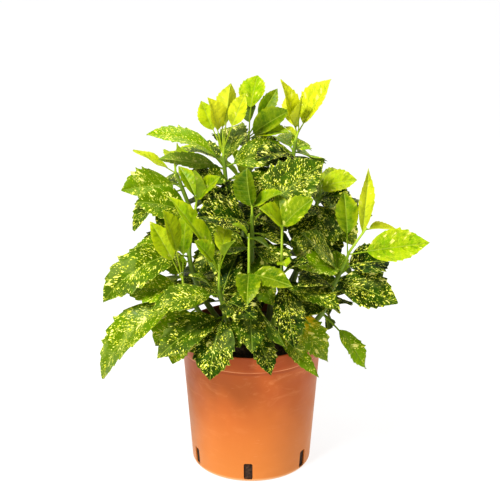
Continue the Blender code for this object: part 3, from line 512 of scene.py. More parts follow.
def leaf_mesh(one, grow=0.0):
    """Vertices, triangles and each triangle's share along a leaf: petiole and blade."""
    form = one.form
    p = one.petiole
    ribs = [0.0, p] + [p + (1 - p) * t for t in form.rib] + [1.0]
    edges = [(0.0, None), (p, None)] + [(p + (1 - p) * t, t) for t, _ in form.edge]
    reach = dict(form.edge)
    vertices = []
    for s, point, up, _ in zip(ribs, *leaf_frames(one, ribs)):
        t = max(0.0, (s - p) / (1 - p))
        deep = form.petiole_deep + (form.rib_deep - form.petiole_deep) * min(1, t * 3)
        deep = deep + (form.rim_deep - deep) * t
        vertices += [point + up * grow, point - up * (deep + grow)]
    rims = {}
    frames = list(zip(*leaf_frames(one, [s for s, _ in edges])))
    for hand in (1, -1):
        rims[hand] = []
        for (_, t), (point, up, side) in zip(edges, frames):
            top = len(vertices)
            if t is None:
                point = point + side * hand * (form.petiole_half + grow)
                vertices.append(point - up * form.petiole_deep * 0.4)
                rims[hand].append((top, top))
                continue
            half = one.width / 2 * oval(t, OVAL_RISE, OVAL_FALL) * reach[t]
            half = max(form.petiole_half, half)
            wave = one.wave * sin(2 * pi * (WAVES * t + one.phase) + hand) * min(1, t * 3)
            lift = sin(radians(one.fold)) * half + wave
            point = point + side * hand * (half * cos(radians(one.fold)) + grow) + up * lift
            vertices += [point + up * grow, point - up * (form.rim_deep + grow)]
            rims[hand].append((top, top + 1))
        rims[hand].append((2 * (len(ribs) - 1), 2 * (len(ribs) - 1) + 1))
    faces, shares = [], []
    rim_share = [s for s, _ in edges] + [1.0]
    for hand, rim in rims.items():
        i = j = 0
        while i < len(rim) - 1 or j < len(ribs) - 1:
            if j == len(ribs) - 1 or (i < len(rim) - 1 and rim_share[i + 1] <= ribs[j + 1]):
                corners = (rim[i], rim[i + 1], (2 * j, 2 * j + 1))
                share, i = rim_share[i], i + 1
            else:
                corners = (rim[i], (2 * j + 2, 2 * j + 3), (2 * j, 2 * j + 1))
                share, j = ribs[j], j + 1
            above, under = zip(*corners)
            if len(set(above)) == 3:
                faces += [above[::hand], under[::-hand]]
                shares += [share, share]
        for (a, a_under), (b, b_under), share in zip(rim, rim[1:], rim_share):
            if b != b_under:
                faces.append((a, b_under, b)[::hand])
                shares.append(share)
            if a != a_under:
                faces.append((a, a_under, b_under)[::hand])
                shares.append(share)
    left, right = rims[1][0][0], rims[-1][0][0]
    faces += [(0, 1, left), (0, right, 1)]
    shares += [0.0, 0.0]
    return vertices, faces, shares


def settle(one, grown_others, draw):
    """The leaf turned until it is clear of the others, or None if it finds no room."""
    base = np.array(one.base)
    span = np.array(one.tip) - base
    for attempt in range(CLEAR_TRIES):
        amount = CLEAR_TURN * attempt / CLEAR_TRIES
        turned = one
        if attempt:
            swing, lift, spin = (radians(amount * draw.uniform(-1, 1)) for _ in range(3))
            flat = np.array((-span[1], span[0], 0.0))
            moved = span * cos(swing) + flat * sin(swing)
            moved = moved + np.array((0, 0, np.linalg.norm(span) * sin(lift)))
            moved *= np.linalg.norm(span) / np.linalg.norm(moved)
            if attempt > CLEAR_TRIES * 2 // 3:
                moved *= draw.uniform(CLEAR_SHORTEST, 1.0)
            spun = one.roll + CLEAR_SPIN * spin * 180 / pi
            turned = one._replace(tip=tuple(base + moved), roll=spun)
        if not crosses(*leaf_mesh(turned, CLEARANCE / 2), grown_others):
            return turned
    return None


def crosses(vertices, faces, shares, others):
    """True if a grown leaf meets one of (tree, low, high, own) others."""
    low, high = np.min(vertices, axis=0), np.max(vertices, axis=0)
    trees = {}
    for tree, other_low, other_high, own in others:
        if (low > other_high).any() or (high < other_low).any():
            continue
        if own not in trees:
            kept = [f for f, share in zip(faces, shares) if share >= ROOT_SHARE or not own]
            trees[own] = BVHTree.FromPolygons([tuple(v) for v in vertices], kept)
        if trees[own].overlap(tree):
            return True
    return False


def tree_of(vertices, faces):
    """A search tree of a mesh, with its lowest and highest corner."""
    corners = np.array([tuple(v) for v in vertices])
    return BVHTree.FromPolygons(corners.tolist(), faces), corners.min(axis=0), corners.max(axis=0)


def placed_leaves(entries, route, form, draw):
    """The leaves of a stem that its table places one by one."""
    for height, x, y, z, width, *rest in entries:
        droop, roll, petiole = (*rest, *LEAF_REST[len(rest):])
        yield make_leaf(at_height(route, height * MM), Vector((x, y, z)) * MM, width, droop, roll,
                        petiole, form, draw)


def ring_leaves(entries, route, form, draw):
    """The leaves of a stem's rings."""
    for height, count, first, length, width, rise, droop in entries:
        for k in range(count):
            azimuth = radians(first + 360 / count * k + draw.uniform(-RING_TURN, RING_TURN))
            climb = radians(rise + draw.uniform(-RING_CLIMB, RING_CLIMB))
            reach = length * MM * draw.uniform(*RING_SIZES)
            out = Vector((cos(azimuth) * cos(climb), sin(azimuth) * cos(climb), sin(climb)))
            base = at_height(route, (height - RING_STEP * k) * MM)
            yield make_leaf(base, base + out * reach, width * draw.uniform(*RING_SIZES),
                            droop + draw.uniform(*RING_DROOPS),
                            draw.uniform(-RING_ROLL, RING_ROLL), RING_PETIOLE,
                            INNER_FORM if form is OLD_FORM else form, draw)


def make_leaf(base, tip, width, droop, roll, petiole, form, draw):
    """A leaf with its own small irregularities."""
    return Leaf(
        tuple(base), tuple(tip), width * MM, max(droop, LEAST_DROOP), roll, petiole,
        form.fold * draw.uniform(*LEAF_FOLDS), form.wave * draw.uniform(*LEAF_WAVES),
        draw.uniform(0, 1), draw.uniform(-LEAF_TWIST, LEAF_TWIST), form,
    )


def lay_out():
    """Every stem and leaf of the plant: {node: (route, radii, leaves)}, all of them clear."""
    draw = Random(SEED)
    plan = {}
    for name, ((foot, *points), *entries) in OLD_STEMS.items():
        route = smooth_route([(*foot, STEM_FOOT), (*foot, STEM_STRAIGHT), *points])
        plan[name] = (route, OLD_RADIUS, [], entries, OLD_FORM)
    for name, (points, *entries) in YOUNG_SHOOTS.items():
        below, top = plan[name.replace("shoot", "stem")][0][-2:]
        lean = (top - below).normalized()
        seat = top + lean * SEAT_GAP
        route = [seat, seat + lean * FIRST_STRETCH] + [Vector(p) * MM for p in points]
        plan[name] = (route, YOUNG_RADIUS, [], entries, YOUNG_FORM)
    trees = [("pot", *tree_of(*turned_surface(pot_profile(), POT_SIDES)))]
    for name, (route, radii, *_) in plan.items():
        trees.append((name, *tree_of(*tube(route, radii))))
    for kind, asked_leaves in enumerate((placed_leaves, ring_leaves)):
        for name, (route, _, leaves, entries, form) in plan.items():
            for one in asked_leaves(entries[kind], route, form, draw):
                others = [(tree, low, high, owner == name) for owner, tree, low, high in trees]
                clear = settle(one, others, draw)
                if clear is None:
                    continue
                leaves.append(clear)
                trees.append((name, *tree_of(*leaf_mesh(clear)[:2])))
    return {name: (route, radii, leaves) for name, (route, radii, leaves, *_) in plan.items()}


# Fine leaves and stems

def blade_half(t):
    """Half width of a fine blade at t along it, as a share of its greatest half width."""
    narrow = min(max((t - TIP_FROM) / TIP_LONG, 0), 1)
    return oval(t, BLADE_RISE, BLADE_FALL) * (1 - BLADE_TIP * narrow ** 1.5)


def rib_share(t):
    """Where on the rib a side vein starts that meets the edge at t."""
    return t - VEIN_LEAN * 4 * t * (1 - t) * (0.6 + 0.4 * t)


def blade_rows(look, draw):
    """Rows from rib to edge: rib share, edge share and width factor on each side, vein, bulge."""
    rows = [(0.0, (0.0, 0.0), (1.0, 1.0), 0.0, 0.0), (0.04, (0.045, 0.045), (1.0, 1.0), 0.0, 0.4)]
    shift = [[draw.uniform(-TOOTH_SHIFT, TOOTH_SHIFT) for _ in VEINS] for _ in range(2)]
    size = [[draw.uniform(*TOOTH_SIZES) * look.tooth * tooth for _, tooth in VEINS]
            for _ in range(2)]
    ends = [t for t, _ in VEINS[1:]] + [LAST_VEIN]
    for (t, tooth), after, *own in zip(VEINS, ends, *shift, *size):
        shifts, sizes = own[:2], own[2:]
        rib, step = rib_share(t), rib_share(after) - rib_share(t)
        edge = [t + one for one in shifts]
        rows.append((rib, edge, [1 + one for one in sizes], 1.0, 0.0))
        if tooth:
            rows.append((rib + 0.22 * step, [e + TOOTH_SHIFT for e in edge],
                         [1 - 0.35 * one for one in sizes], 0.3, 0.55))
        rows.append((rib + 0.6 * step, [t + 0.62 * (after - t)] * 2,
                     [1 + 0.25 * one for one in sizes], 0.0, 1.0))
    rows += [(LAST_VEIN, (0.965, 0.965), (1.0, 1.0), 0.0, 0.3),
             (0.995, (0.996, 0.996), (1.0, 1.0), 0.0, 0.0)]
    return rows


def fine_blade(one, look, draw):
    """Points, faces, and for each point its place in the leaf, its shares and its vein."""
    p = one.petiole
    length = np.linalg.norm(np.array(one.tip) - np.array(one.base)) * (1 - p)
    rows = blade_rows(look, draw)
    fold = radians(one.fold)
    hands = [(-1, u) for u in ACROSS[:0:-1]] + [(1, u) for u in ACROSS]
    values = []
    for rib, edge, factor, vein, bulge in rows:
        for hand, u in hands:
            h = 0 if hand > 0 else 1
            half = max(blade_half(edge[h]) * one.width / 2 * factor[h],
                       one.form.petiole_half * 0.6 * (1 - edge[h]) + 0.1 * MM)
            values.append((rib + (edge[h] - rib) * u, u, hand, vein, bulge, half))
    t, u, hand, vein, bulge, half = np.array(values).T
    points, up, side = leaf_frames(one, p + (1 - p) * t)
    x = hand * u * half
    wave = one.wave * np.sin(2 * pi * (WAVES * t + one.phase) + hand) * np.minimum(1, 3 * t)
    lift = np.sin(fold) * half * u * (1 + look.curl * (1 - u)) + wave * u ** 1.6
    field = look.quilt * bulge * np.sin(pi * np.clip(u, 0, 1)) ** 0.8
    lift = lift + field * np.minimum(1, half / (12 * MM)) - RIB_SINK * (u == 0)
    top = points + side * (x * cos(fold))[:, None] + up * lift[:, None]
    thick = look.edge_thick + (look.thick - look.edge_thick) * (1 - u)
    under = top - up * thick[:, None]
    columns, count = len(hands), len(top)
    corners = [i * columns + j for i in range(len(rows) - 1) for j in range(columns - 1)]
    faces = [(a, a + 1, a + columns + 1, a + columns) for a in corners]
    faces += [tuple(a + count for a in quad[::-1]) for quad in faces]
    rim = list(range(columns))
    rim += [i * columns + columns - 1 for i in range(1, len(rows))]
    rim += [(len(rows) - 1) * columns + j for j in range(columns - 2, -1, -1)]
    rim += [i * columns for i in range(len(rows) - 2, 0, -1)]
    faces += [(b, a, a + count, b + count) for a, b in zip(rim, rim[1:] + rim[:1])]
    place = np.column_stack((t * length / MM, x / MM, np.zeros(count)))
    shares = [np.column_stack((t, u, np.full(count, is_top))) for is_top in (1.0, 0.0)]
    return (np.concatenate((top, under)), faces, np.concatenate((place, place)),
            np.concatenate(shares), np.concatenate((vein, vein)))


def fine_rib(one, look):
    """The petiole, which runs on as the rib under the blade, with the same values."""
    p = one.petiole
    shares = np.concatenate((
        np.linspace(0, p, 5), p + (1 - p) * np.array((0.08, 0.2, 0.4, 0.6, 0.8, 0.94)),
    ))
    points, up, side = leaf_frames(one, shares)
    t = np.clip((shares - p) / (1 - p), 0, 1)
    stalk = one.form.petiole_half * (0.92 - 0.2 * np.clip(shares / p, 0, 1))
    radius = np.where(t > 0, np.minimum(look.rib * (1 - t) ** 0.8, stalk), stalk)
    radius = np.maximum(radius, RIB_LEAST)
    sink = np.where(t > 0, radius * 0.75 + look.thick * 0.5, radius)
    ring = [points - up * sink[:, None] + side * (radius * c)[:, None] + up * (radius * s)[:, None]
            for c, s in circle(RIB_SIDES)]
    points = np.stack(ring, axis=1).reshape(-1, 3)
    rows, count = len(shares), len(points)
    faces = ring_quads(rows, RIB_SIDES)
    faces += [tuple(range(RIB_SIDES))[::-1], tuple(range(count - RIB_SIDES, count))]
    length = np.linalg.norm(np.array(one.tip) - np.array(one.base)) / MM
    place = np.column_stack((
        np.repeat(shares * length, RIB_SIDES), np.tile(np.arange(RIB_SIDES), rows), np.zeros(count),
    ))
    share = np.column_stack((np.repeat(t, RIB_SIDES), np.zeros(count), np.full(count, 0.5)))
    return points, faces, place, share, np.zeros(count)


def fine_stem(route, radii):
    """Points and faces of a stem with a little swell at each joint, and its place values."""
    spline = []
    ends = [route[0], *route, route[-1]]
    for before, a, b, after in zip(ends, ends[1:], ends[2:], ends[3:]):
        steps = max(1, int((b - a).length / FINE_SPACING))
        spline += [curve(before, a, b, after, step / steps) for step in range(steps)]
    spline.append(route[-1].copy())
    thick, place = [], []
    distance = 0.0
    for k, point in enumerate(spline):
        share = k / (len(spline) - 1)
        if k:
            distance += (point - spline[k - 1]).length
        swell = 1 + JOINT_SWELL * max(0.0, cos(2 * pi * distance / JOINT_SPACING)) ** 6
        thick.append((radii[0] + (radii[1] - radii[0]) * share) * FINE_STEM_SIZE * swell)
        place += [(distance / MM, j / FINE_STEM_SIDES, share) for j in range(FINE_STEM_SIDES)]
    vertices = rings_along(spline, thick, FINE_STEM_SIDES)
    faces = ring_quads(len(spline), FINE_STEM_SIDES)
    faces += [tuple(range(FINE_STEM_SIDES))[::-1],
              tuple(range(len(vertices) - FINE_STEM_SIDES, len(vertices)))]
    return np.array([tuple(v) for v in vertices]), faces, np.array(place)


# Materials: a colour is red, green and blue of 0 to 255 on the screen

def srgb(*colour):
    """A colour in Blender's linear values."""
    shares = [v / 255 for v in colour]
    return (*(v / 12.92 if v <= 0.04045 else ((v + 0.055) / 1.055) ** 2.4 for v in shares), 1.0)


class Nodes:
    """Short names for the nodes of one material."""

    def __init__(self, name):
        self.material = bpy.data.materials.new(name)
        self.material.use_nodes = True
        self.tree = self.material.node_tree
        self.shader = self.tree.nodes["Principled BSDF"]
        self.output = self.tree.nodes["Material Output"]

    def put(self, socket, value):
        """Links an output to a socket, or sets a constant on it."""
        if isinstance(value, bpy.types.NodeSocket):
            self.tree.links.new(value, socket)
        else:
            colour = socket.type == "RGBA" and len(value) == 3
            socket.default_value = srgb(*value) if colour else value

    def node(self, kind, *values, **settings):
        """The outputs of a new node with values for its first inputs, None for one left alone."""
        made = self.tree.nodes.new("ShaderNode" + kind)
        for name, setting in settings.items():
            setattr(made, name, setting)
        for socket, value in zip(made.inputs, values):
            if value is not None:
                self.put(socket, value)
        return made.outputs

    def surface(self, values):
        """Gives the shader its values by the names of its sockets."""
        for name, value in values.items():
            self.put(self.shader.inputs[name], value)

    def split(self, vector):
        return self.node("SeparateXYZ", vector)

    def stored(self, name):
        """The three values of a vector that the mesh stores."""
        return self.split(self.node("Attribute", attribute_name=name)["Vector"])

    def join(self, x, y, z):
        return self.node("CombineXYZ", x, y, z)[0]

    def math(self, operation, *values):
        return self.node("Math", *values, operation=operation)[0]

    def times(self, a, b):
        return self.math("MULTIPLY", a, b)

    def ramp(self, value, low, high, to_low=0.0, to_high=1.0, kind="SMOOTHSTEP"):
        return self.node("MapRange", value, low, high, to_low, to_high, interpolation_type=kind)[0]

    def noise(self, vector, scale, detail=2.0, roughness=0.5):
        return self.node("TexNoise", vector, None, scale, detail, roughness)[0]

    def patches(self, vector, scale, detail, *ends):
        """A noise turned into patches by a ramp."""
        return self.ramp(self.noise(vector, scale, detail), *ends)

    def cells(self, vector, scale):
        return self.node("TexVoronoi", vector, None, scale)

    def warp(self, vector, scale, amount):
        """The vector moved about by a noise, by up to the amount each way."""
        noise = self.node("TexNoise", vector, None, scale)[1]
        centred = self.node("VectorMath", noise, (0.5, 0.5, 0.5), operation="SUBTRACT")[0]
        return self.node("VectorMath", centred, (amount * 2,) * 3, vector,
                         operation="MULTIPLY_ADD")[0]

    def mix(self, share, a, b):
        return self.node("Mix", share, None, None, None, None, None, a, b, data_type="RGBA")[2]

    def tint(self, colour, over, share, amount):
        """The colour with another over it, on a share of the surface and by an amount."""
        return self.mix(self.times(share, amount), colour, over)

    def bump(self, strength, distance, *heights):
        """Bumps from pairs of a height and its amount."""
        scaled = [h if amount == 1 else self.times(h, amount) for h, amount in heights]
        height = scaled[0] if len(scaled) == 1 else self.math("ADD", *scaled)
        self.surface({"Normal": self.node("Bump", strength, distance, None, height)[0]})

    def see_through(self, colour, share):
        """Lets part of the light through the blade."""
        glow = self.node("BsdfTranslucent", colour)[0]
        mixed = self.node("MixShader", share, self.shader.outputs[0], glow)[0]
        self.put(self.output.inputs[0], mixed)


def leaf_values(n):
    """Places in a leaf that run out along the side veins, plain places, and the stored values."""
    along, across, seed = n.stored("leaf_place")
    slant = n.math("SUBTRACT", along, n.times(n.math("ABSOLUTE", across), 0.75))
    vector = n.join(slant, n.times(across, 0.78), n.times(seed, 910.0))
    plain = n.join(along, across, n.times(seed, 570.0))
    return vector, plain, across, *n.stored("leaf_share"), *n.stored("leaf_tone")


def spots(n, vector, scale, least, most, dense, soft):
    """Spots in a share of a pattern's cells, each of its own size: the spots, and their halos."""
    cells = n.cells(vector, scale)
    pick, size, _ = n.split(cells[1])
    radius = n.ramp(n.times(size, size), 0.0, 1.0, least, most, "LINEAR")
    radius = n.times(radius, n.ramp(n.math("SUBTRACT", dense, pick), 0.0, 0.12))
    inside = n.math("SUBTRACT", radius, cells[0])
    return n.ramp(inside, 0.0, soft), n.ramp(inside, -0.26, 0.02)


def old_leaf_material():
    """Dark green with many yellow to cream dots and blotches, and a paler underside."""
    n = Nodes("old_leaf")
    vector, plain, across, t, u, side, tone, flecks, vein = leaf_values(n)
    green = n.mix(n.ramp(n.noise(plain, 0.05, 3.0, 0.6), 0.36, 0.66), (10, 28, 0), (44, 78, 0))
    # Lighter with the leaf's tone: partly its own colour, partly painted light
    green = n.tint(green, (122, 156, 6), tone, 0.95)
    # Painted sheen: pale grey-green patches stand in for reflections of the lights
    painted_sheen = n.patches(plain, 0.032, 2.0, 0.54, 0.68)
    green = n.tint(green, (146, 164, 80), painted_sheen, n.ramp(tone, -0.1, 0.8, 0.22, 0.45))
    dense = n.times(n.patches(plain, 0.06, 2.0, 0.40, 0.60, 0.28, 1.05), flecks)
    near, far = n.warp(vector, 0.55, 1.8), n.warp(vector, 0.22, 7.0)
    dots, dot_halo = spots(n, near, 0.50, 0.24, 0.58, n.times(dense, 0.95), 0.10)
    patches, patch_halo = spots(n, near, 0.25, 0.16, 0.50, n.times(dense, 0.58), 0.07)
    blots, blot_halo = spots(n, far, 0.095, 0.16, 0.56, n.times(dense, 0.34), 0.05)
    mask = n.math("MAXIMUM", n.math("MAXIMUM", dots, patches), blots)
    halo = n.math("MAXIMUM", n.times(dot_halo, 0.5), patch_halo)
    halo = n.math("MAXIMUM", halo, blot_halo)
    green = n.tint(green, (150, 168, 12), halo, 0.42)
    yellow = n.mix(n.patches(plain, 0.35, 2.0, 0.38, 0.62), (230, 228, 50), (250, 246, 138))
    yellow = n.tint(yellow, (250, 242, 164), blots, 0.5)
    colour = n.tint(green, yellow, mask, 0.94)
    ageing = n.times(n.ramp(flecks, 1.5, 1.6), n.ramp(t, 0.25, 0.55, 1.0, 0.0))
    colour = n.tint(colour, (232, 190, 24), ageing, n.patches(plain, 0.12, 2.0, 0.38, 0.5))
    margin = n.times(n.ramp(u, 0.93, 1.0), n.patches(plain, 0.1, 1.0, 0.35, 0.6))
    colour = n.tint(colour, (186, 196, 84), margin, 0.40)
    lines = n.math("POWER", vein, 9.0)
    colour = n.tint(colour, (128, 152, 36), lines, 0.22)
    rib = n.ramp(n.math("ABSOLUTE", across), 0.5, 1.4, 1.0, 0.0)
    colour = n.tint(colour, (150, 168, 60), rib, 0.5)
    is_top = n.ramp(side, 0.7, 0.8)
    colour = n.mix(is_top, n.mix(0.5, colour, (120, 140, 60)), colour)
    # Painted shade: a leaf with a tone under 0 is darkened towards near black
    colour = n.mix(n.ramp(tone, -1.0, 0.0, 0.85, 0.0, "LINEAR"), colour, (12, 20, 0))
    is_stalk = n.math("COMPARE", side, 0.5, 0.1)
    colour = n.mix(is_stalk, colour, n.mix(n.ramp(t, 0.0, 0.4), (132, 158, 40), (160, 176, 74)))
    uneven = n.patches(plain, 0.12, 2.0, 0.3, 0.7, 0.30, 0.48)
    n.surface({"Base Color": colour, "Specular IOR Level": 0.10,
               "Roughness": n.math("ADD", uneven, n.ramp(tone, 0.0, 0.6, 0.22, 0.0))})
    n.bump(0.4, 0.3 * MM, (n.noise(plain, 0.9, 3.0), 0.6), (lines, -0.8))
    n.see_through(n.mix(0.3, colour, (150, 180, 10)), 0.08)
    return n.material


def young_leaf_material():
    """Lime green to yellow, mottled and darker towards its base, and thin enough to glow."""
    n = Nodes("young_leaf")
    vector, plain, across, t, u, side, tone, flecks, vein = leaf_values(n)
    # Lighter and yellower with the leaf's tone: partly its own colour, partly painted light
    base = n.mix(n.ramp(tone, 0.0, 0.5, kind="LINEAR"), (64, 104, 0), (150, 192, 0))
    base = n.mix(n.ramp(tone, 0.5, 1.0, kind="LINEAR"), base, (244, 242, 56))
    clouds = n.ramp(n.noise(plain, 0.06, 3.0, 0.6), 0.40, 0.62)
    base = n.tint(base, (222, 226, 34), clouds, n.ramp(tone, 0.0, 0.5, 0.16, 0.42))
    base = n.tint(base, (92, 140, 4), n.ramp(t, 0.0, 0.55, 1.0, 0.0), 0.30)
    shade = n.ramp(n.noise(n.warp(vector, 0.2, 4.0), 0.13, 3.0, 0.6), 0.50, 0.60)
    base = n.tint(base, (76, 122, 0), shade, n.ramp(tone, 0.3, 1.0, 0.55, 0.28))
    edge = n.times(n.ramp(u, 0.45, 1.0), n.patches(plain, 0.11, 2.0, 0.35, 0.6))
    base = n.tint(base, (226, 228, 36), edge, n.ramp(tone, -0.2, 0.5, 0.1, 0.55))
    mottle = n.ramp(n.noise(n.warp(vector, 0.5, 1.5), 0.42, 3.0, 0.6), 0.52, 0.62)
    base = n.tint(base, (232, 232, 62), mottle, n.times(flecks, 0.34))
    near = n.warp(vector, 0.3, 4.0)
    patches, halo = spots(n, near, 0.13, 0.14, 0.50, n.times(flecks, 0.55), 0.16)
    base = n.tint(base, (216, 222, 50), halo, n.times(flecks, 0.30))
    base = n.tint(base, (250, 244, 150), patches, n.times(flecks, 0.75))
    lines = n.math("POWER", vein, 7.0)
    base = n.tint(base, (206, 218, 84), lines, 0.22)
    rib = n.ramp(n.math("ABSOLUTE", across), 0.4, 1.3, 1.0, 0.0)
    colour = n.tint(base, (206, 220, 96), rib, 0.6)
    # Painted shade: a leaf with a tone under 0 is darkened towards near black
    colour = n.mix(n.ramp(tone, -1.0, 0.0, 0.9, 0.0, "LINEAR"), colour, (24, 44, 0))
    is_top = n.ramp(side, 0.7, 0.8)
    colour = n.mix(is_top, n.mix(0.35, colour, (180, 200, 80)), colour)
    is_stalk = n.math("COMPARE", side, 0.5, 0.1)
    colour = n.mix(is_stalk, colour, n.mix(n.ramp(tone, 0.2, 0.9), (140, 170, 22), (190, 208, 60)))
    n.surface({"Base Color": colour, "Specular IOR Level": 0.22,
               "Roughness": n.patches(plain, 0.15, 2.0, 0.3, 0.7, 0.34, 0.52)})
    n.bump(0.45, 0.35 * MM, (n.noise(plain, 0.8, 3.0), 0.6), (lines, -0.9))
    n.see_through(n.mix(0.3, colour, (235, 235, 8)), 0.42)
    return n.material


def stem_material(name, low, high):
    """Smooth green bark with pale pores, browner towards the foot."""
    n = Nodes(name)
    distance, turn, share = n.stored("leaf_place")
    plain = n.join(distance, n.times(turn, 30.0), 0.0)
    colour = n.mix(n.ramp(share, 0.0, 0.7), low, high)
    long = n.join(n.times(distance, 0.2), n.times(turn, 40.0), 3.0)
    streaks = n.patches(long, 0.5, 2.0, 0.4, 0.7)
    colour = n.tint(colour, (150, 160, 70), streaks, 0.3)
    pores = n.ramp(n.cells(plain, 0.3)[0], 0.10, 0.18, 1.0, 0.0)
    colour = n.tint(colour, (178, 160, 112), pores, 0.5)
    n.surface({"Base Color": colour,
               "Roughness": n.patches(plain, 0.6, 2.0, 0.3, 0.7, 0.42, 0.6)})
    n.bump(0.4, 0.2 * MM, (n.noise(plain, 1.2, 3.0), 1), (pores, 1))
    return n.material


def pot_material():
    """Matte terracotta-coloured plastic with faint scuffs; painted light and shade: lighter towards
    the foot, painted highlights on the collar's edge and the foot, a painted shadow under the
    collar, and soil dust and painted shade inside the rim.
    """
    n = Nodes("pot_plastic_fine")
    place = n.node("TexCoord")["Object"]
    x, y, z = n.split(place)

    def stretched(flat, tall):
        return n.join(n.times(x, flat), n.times(y, flat), n.times(z, tall))

    def band(height, reach):
        return n.ramp(n.math("ABSOLUTE", n.math("SUBTRACT", z, height)), 0.0, reach, 1.0, 0.0)

    # Painted light and shade: lighter towards the foot, darker towards the collar under the foliage
    colour = n.mix(n.ramp(z, 0.0, 0.21, kind="LINEAR"), (208, 126, 52), (178, 78, 12))
    clouds = n.ramp(n.noise(place, 11.0, 3.0, 0.55), 0.35, 0.68)
    colour = n.tint(colour, (220, 128, 50), clouds, 0.25)
    smear = n.ramp(n.noise(n.warp(stretched(26.0, 62.0), 0.5, 1.6), 0.7, 4.0, 0.65), 0.52, 0.68)
    upper = n.ramp(z, 0.12, 0.20, 0.25, 1.0)
    colour = n.tint(colour, (246, 176, 112), n.times(smear, upper), 0.22)
    # Painted highlight along the collar's rounded lower edge, broken up by noise
    collar_highlight = n.times(band(COLLAR + 1.0 * MM, 1.5 * MM),
                   n.patches(place, 30.0, 2.0, 0.3, 0.6, 0.25, 1.0))
    colour = n.tint(colour, (250, 186, 130), collar_highlight, 0.6)
    # Painted shadow under the collar
    colour = n.tint(colour, (150, 62, 14), band(COLLAR - 3.0 * MM, 3.5 * MM), 0.45)
    # Painted highlight along the rounded foot
    foot = n.ramp(z, 1.0 * MM, 7.0 * MM, 1.0, 0.0)
    colour = n.tint(colour, (250, 206, 160), foot, 0.65)
    # Inside the rim: partly soil dust, partly painted shade
    from_axis = n.math("SQRT", n.math("ADD", n.times(x, x), n.times(y, y)))
    rim_soil_and_shade = n.times(n.ramp(from_axis, RIM_RADIUS - 2.4 * MM, RIM_RADIUS - 1.8 * MM, 1.0, 0.0),
                    n.ramp(z, POT_HEIGHT - 4.0 * MM, POT_HEIGHT - 1.5 * MM, 1.0, 0.0))
    rim_soil_and_shade = n.times(rim_soil_and_shade, n.ramp(z, COLLAR + 1.0 * MM, COLLAR + 2.0 * MM))
    colour = n.tint(colour, (74, 40, 20), rim_soil_and_shade, 0.7)
    scratch = n.noise(stretched(60.0, 420.0), 1.0)
    marks = n.times(n.ramp(scratch, 0.64, 0.72), n.patches(place, 22.0, 1.0, 0.58, 0.7))
    colour = n.tint(colour, (244, 186, 140), marks, 0.10)
    n.surface({
        "Base Color": colour, "Roughness": n.patches(place, 30.0, 3.0, 0.3, 0.7, 0.42, 0.56),
        "Specular IOR Level": 0.4, "Sheen Weight": 0.25, "Sheen Roughness": 0.4,
        "Sheen Tint": (255, 226, 200),
    })
    n.bump(0.25, 0.12 * MM, (n.noise(place, 900.0), 0.5), (scratch, 0.5))
    return n.material


def soil_material():
    """Dark, damp, fibrous potting soil."""
    n = Nodes("soil_fine")
    place = n.node("TexCoord")["Object"]
    grains = n.noise(place, 260.0, 4.0, 0.65)
    colour = n.mix(n.ramp(grains, 0.3, 0.7), (28, 18, 11), (84, 60, 42))
    colour = n.mix(n.patches(place, 40.0, 2.0, 0.45, 0.7), colour, (52, 34, 22))
    fibres = n.ramp(n.cells(place, 420.0)[0], 0.06, 0.14, 1.0, 0.0)
    n.surface({"Base Color": n.tint(colour, (140, 108, 74), fibres, 0.5), "Roughness": 0.92})
    n.bump(0.8, 1.0 * MM, (grains, 1))
    return n.material


# Pieces

def put_in_scene(name, data):
    """A new object in the scene."""
    made = bpy.data.objects.new(name, data)
    bpy.context.scene.collection.objects.link(made)
    return made


def make_mesh(name, vertices, faces):
    mesh = bpy.data.meshes.new(name)
    mesh.from_pydata([tuple(v) for v in vertices], [], faces)
    return mesh


def make_piece(name, vertices, faces, materials, sharp_above=60):
    """A smooth mesh object in the part's frame."""
    mesh = make_mesh(name, vertices, faces)
    made = put_in_scene(name, mesh)
    for material in materials:
        mesh.materials.append(material)
    mesh.shade_smooth()
    mesh.set_sharp_from_angle(angle=radians(sharp_above))
    return made


def give_vectors(mesh, name, values):
    """Stores one vector for each point of a mesh."""
    layer = mesh.attributes.new(name, "FLOAT_VECTOR", "POINT")
    layer.data.foreach_set("vector", np.asarray(values, dtype=np.float32).ravel())


def turn_outward(mesh):
    """Makes every face of a closed mesh look out."""
    work = bmesh.new()
    work.from_mesh(mesh)
    bmesh.ops.recalc_face_normals(work, faces=work.faces)
    work.to_mesh(mesh)
    work.free()


def tone_of(one, name, young, draw):
    """How light and how flecked a leaf is."""
    if young:
        light = YOUNG_TONES.get(name, YOUNG_TONE) + draw.uniform(-YOUNG_VARY, YOUNG_VARY)
        flecks = draw.uniform(*YOUNG_FLECKS)
    else:
        light, flecks = OLD_TONES.get(name, OLD_TONE)
        light += draw.uniform(-OLD_VARY, OLD_VARY)
        flecks += draw.uniform(*OLD_FLECKS)
        # Painted shade: a leaf near the axis and below the crown's top is made darker
        middle = (Vector(one.base) + Vector(one.tip)) / 2
        inside = max(0.0, 1 - middle.xy.length / CROWN_INSIDE)
        light -= CROWN_SHADE_PAINT * inside * min(max(0.0, (CROWN_TOP - middle.z) / CROWN_FADE), 1.0)
    own = LEAF_TONES.get(name, {}).get(round(one.base[2] / MM), (light, flecks))
    return min(max(own[0], TONE_LEAST), TONE_MOST), own[1]


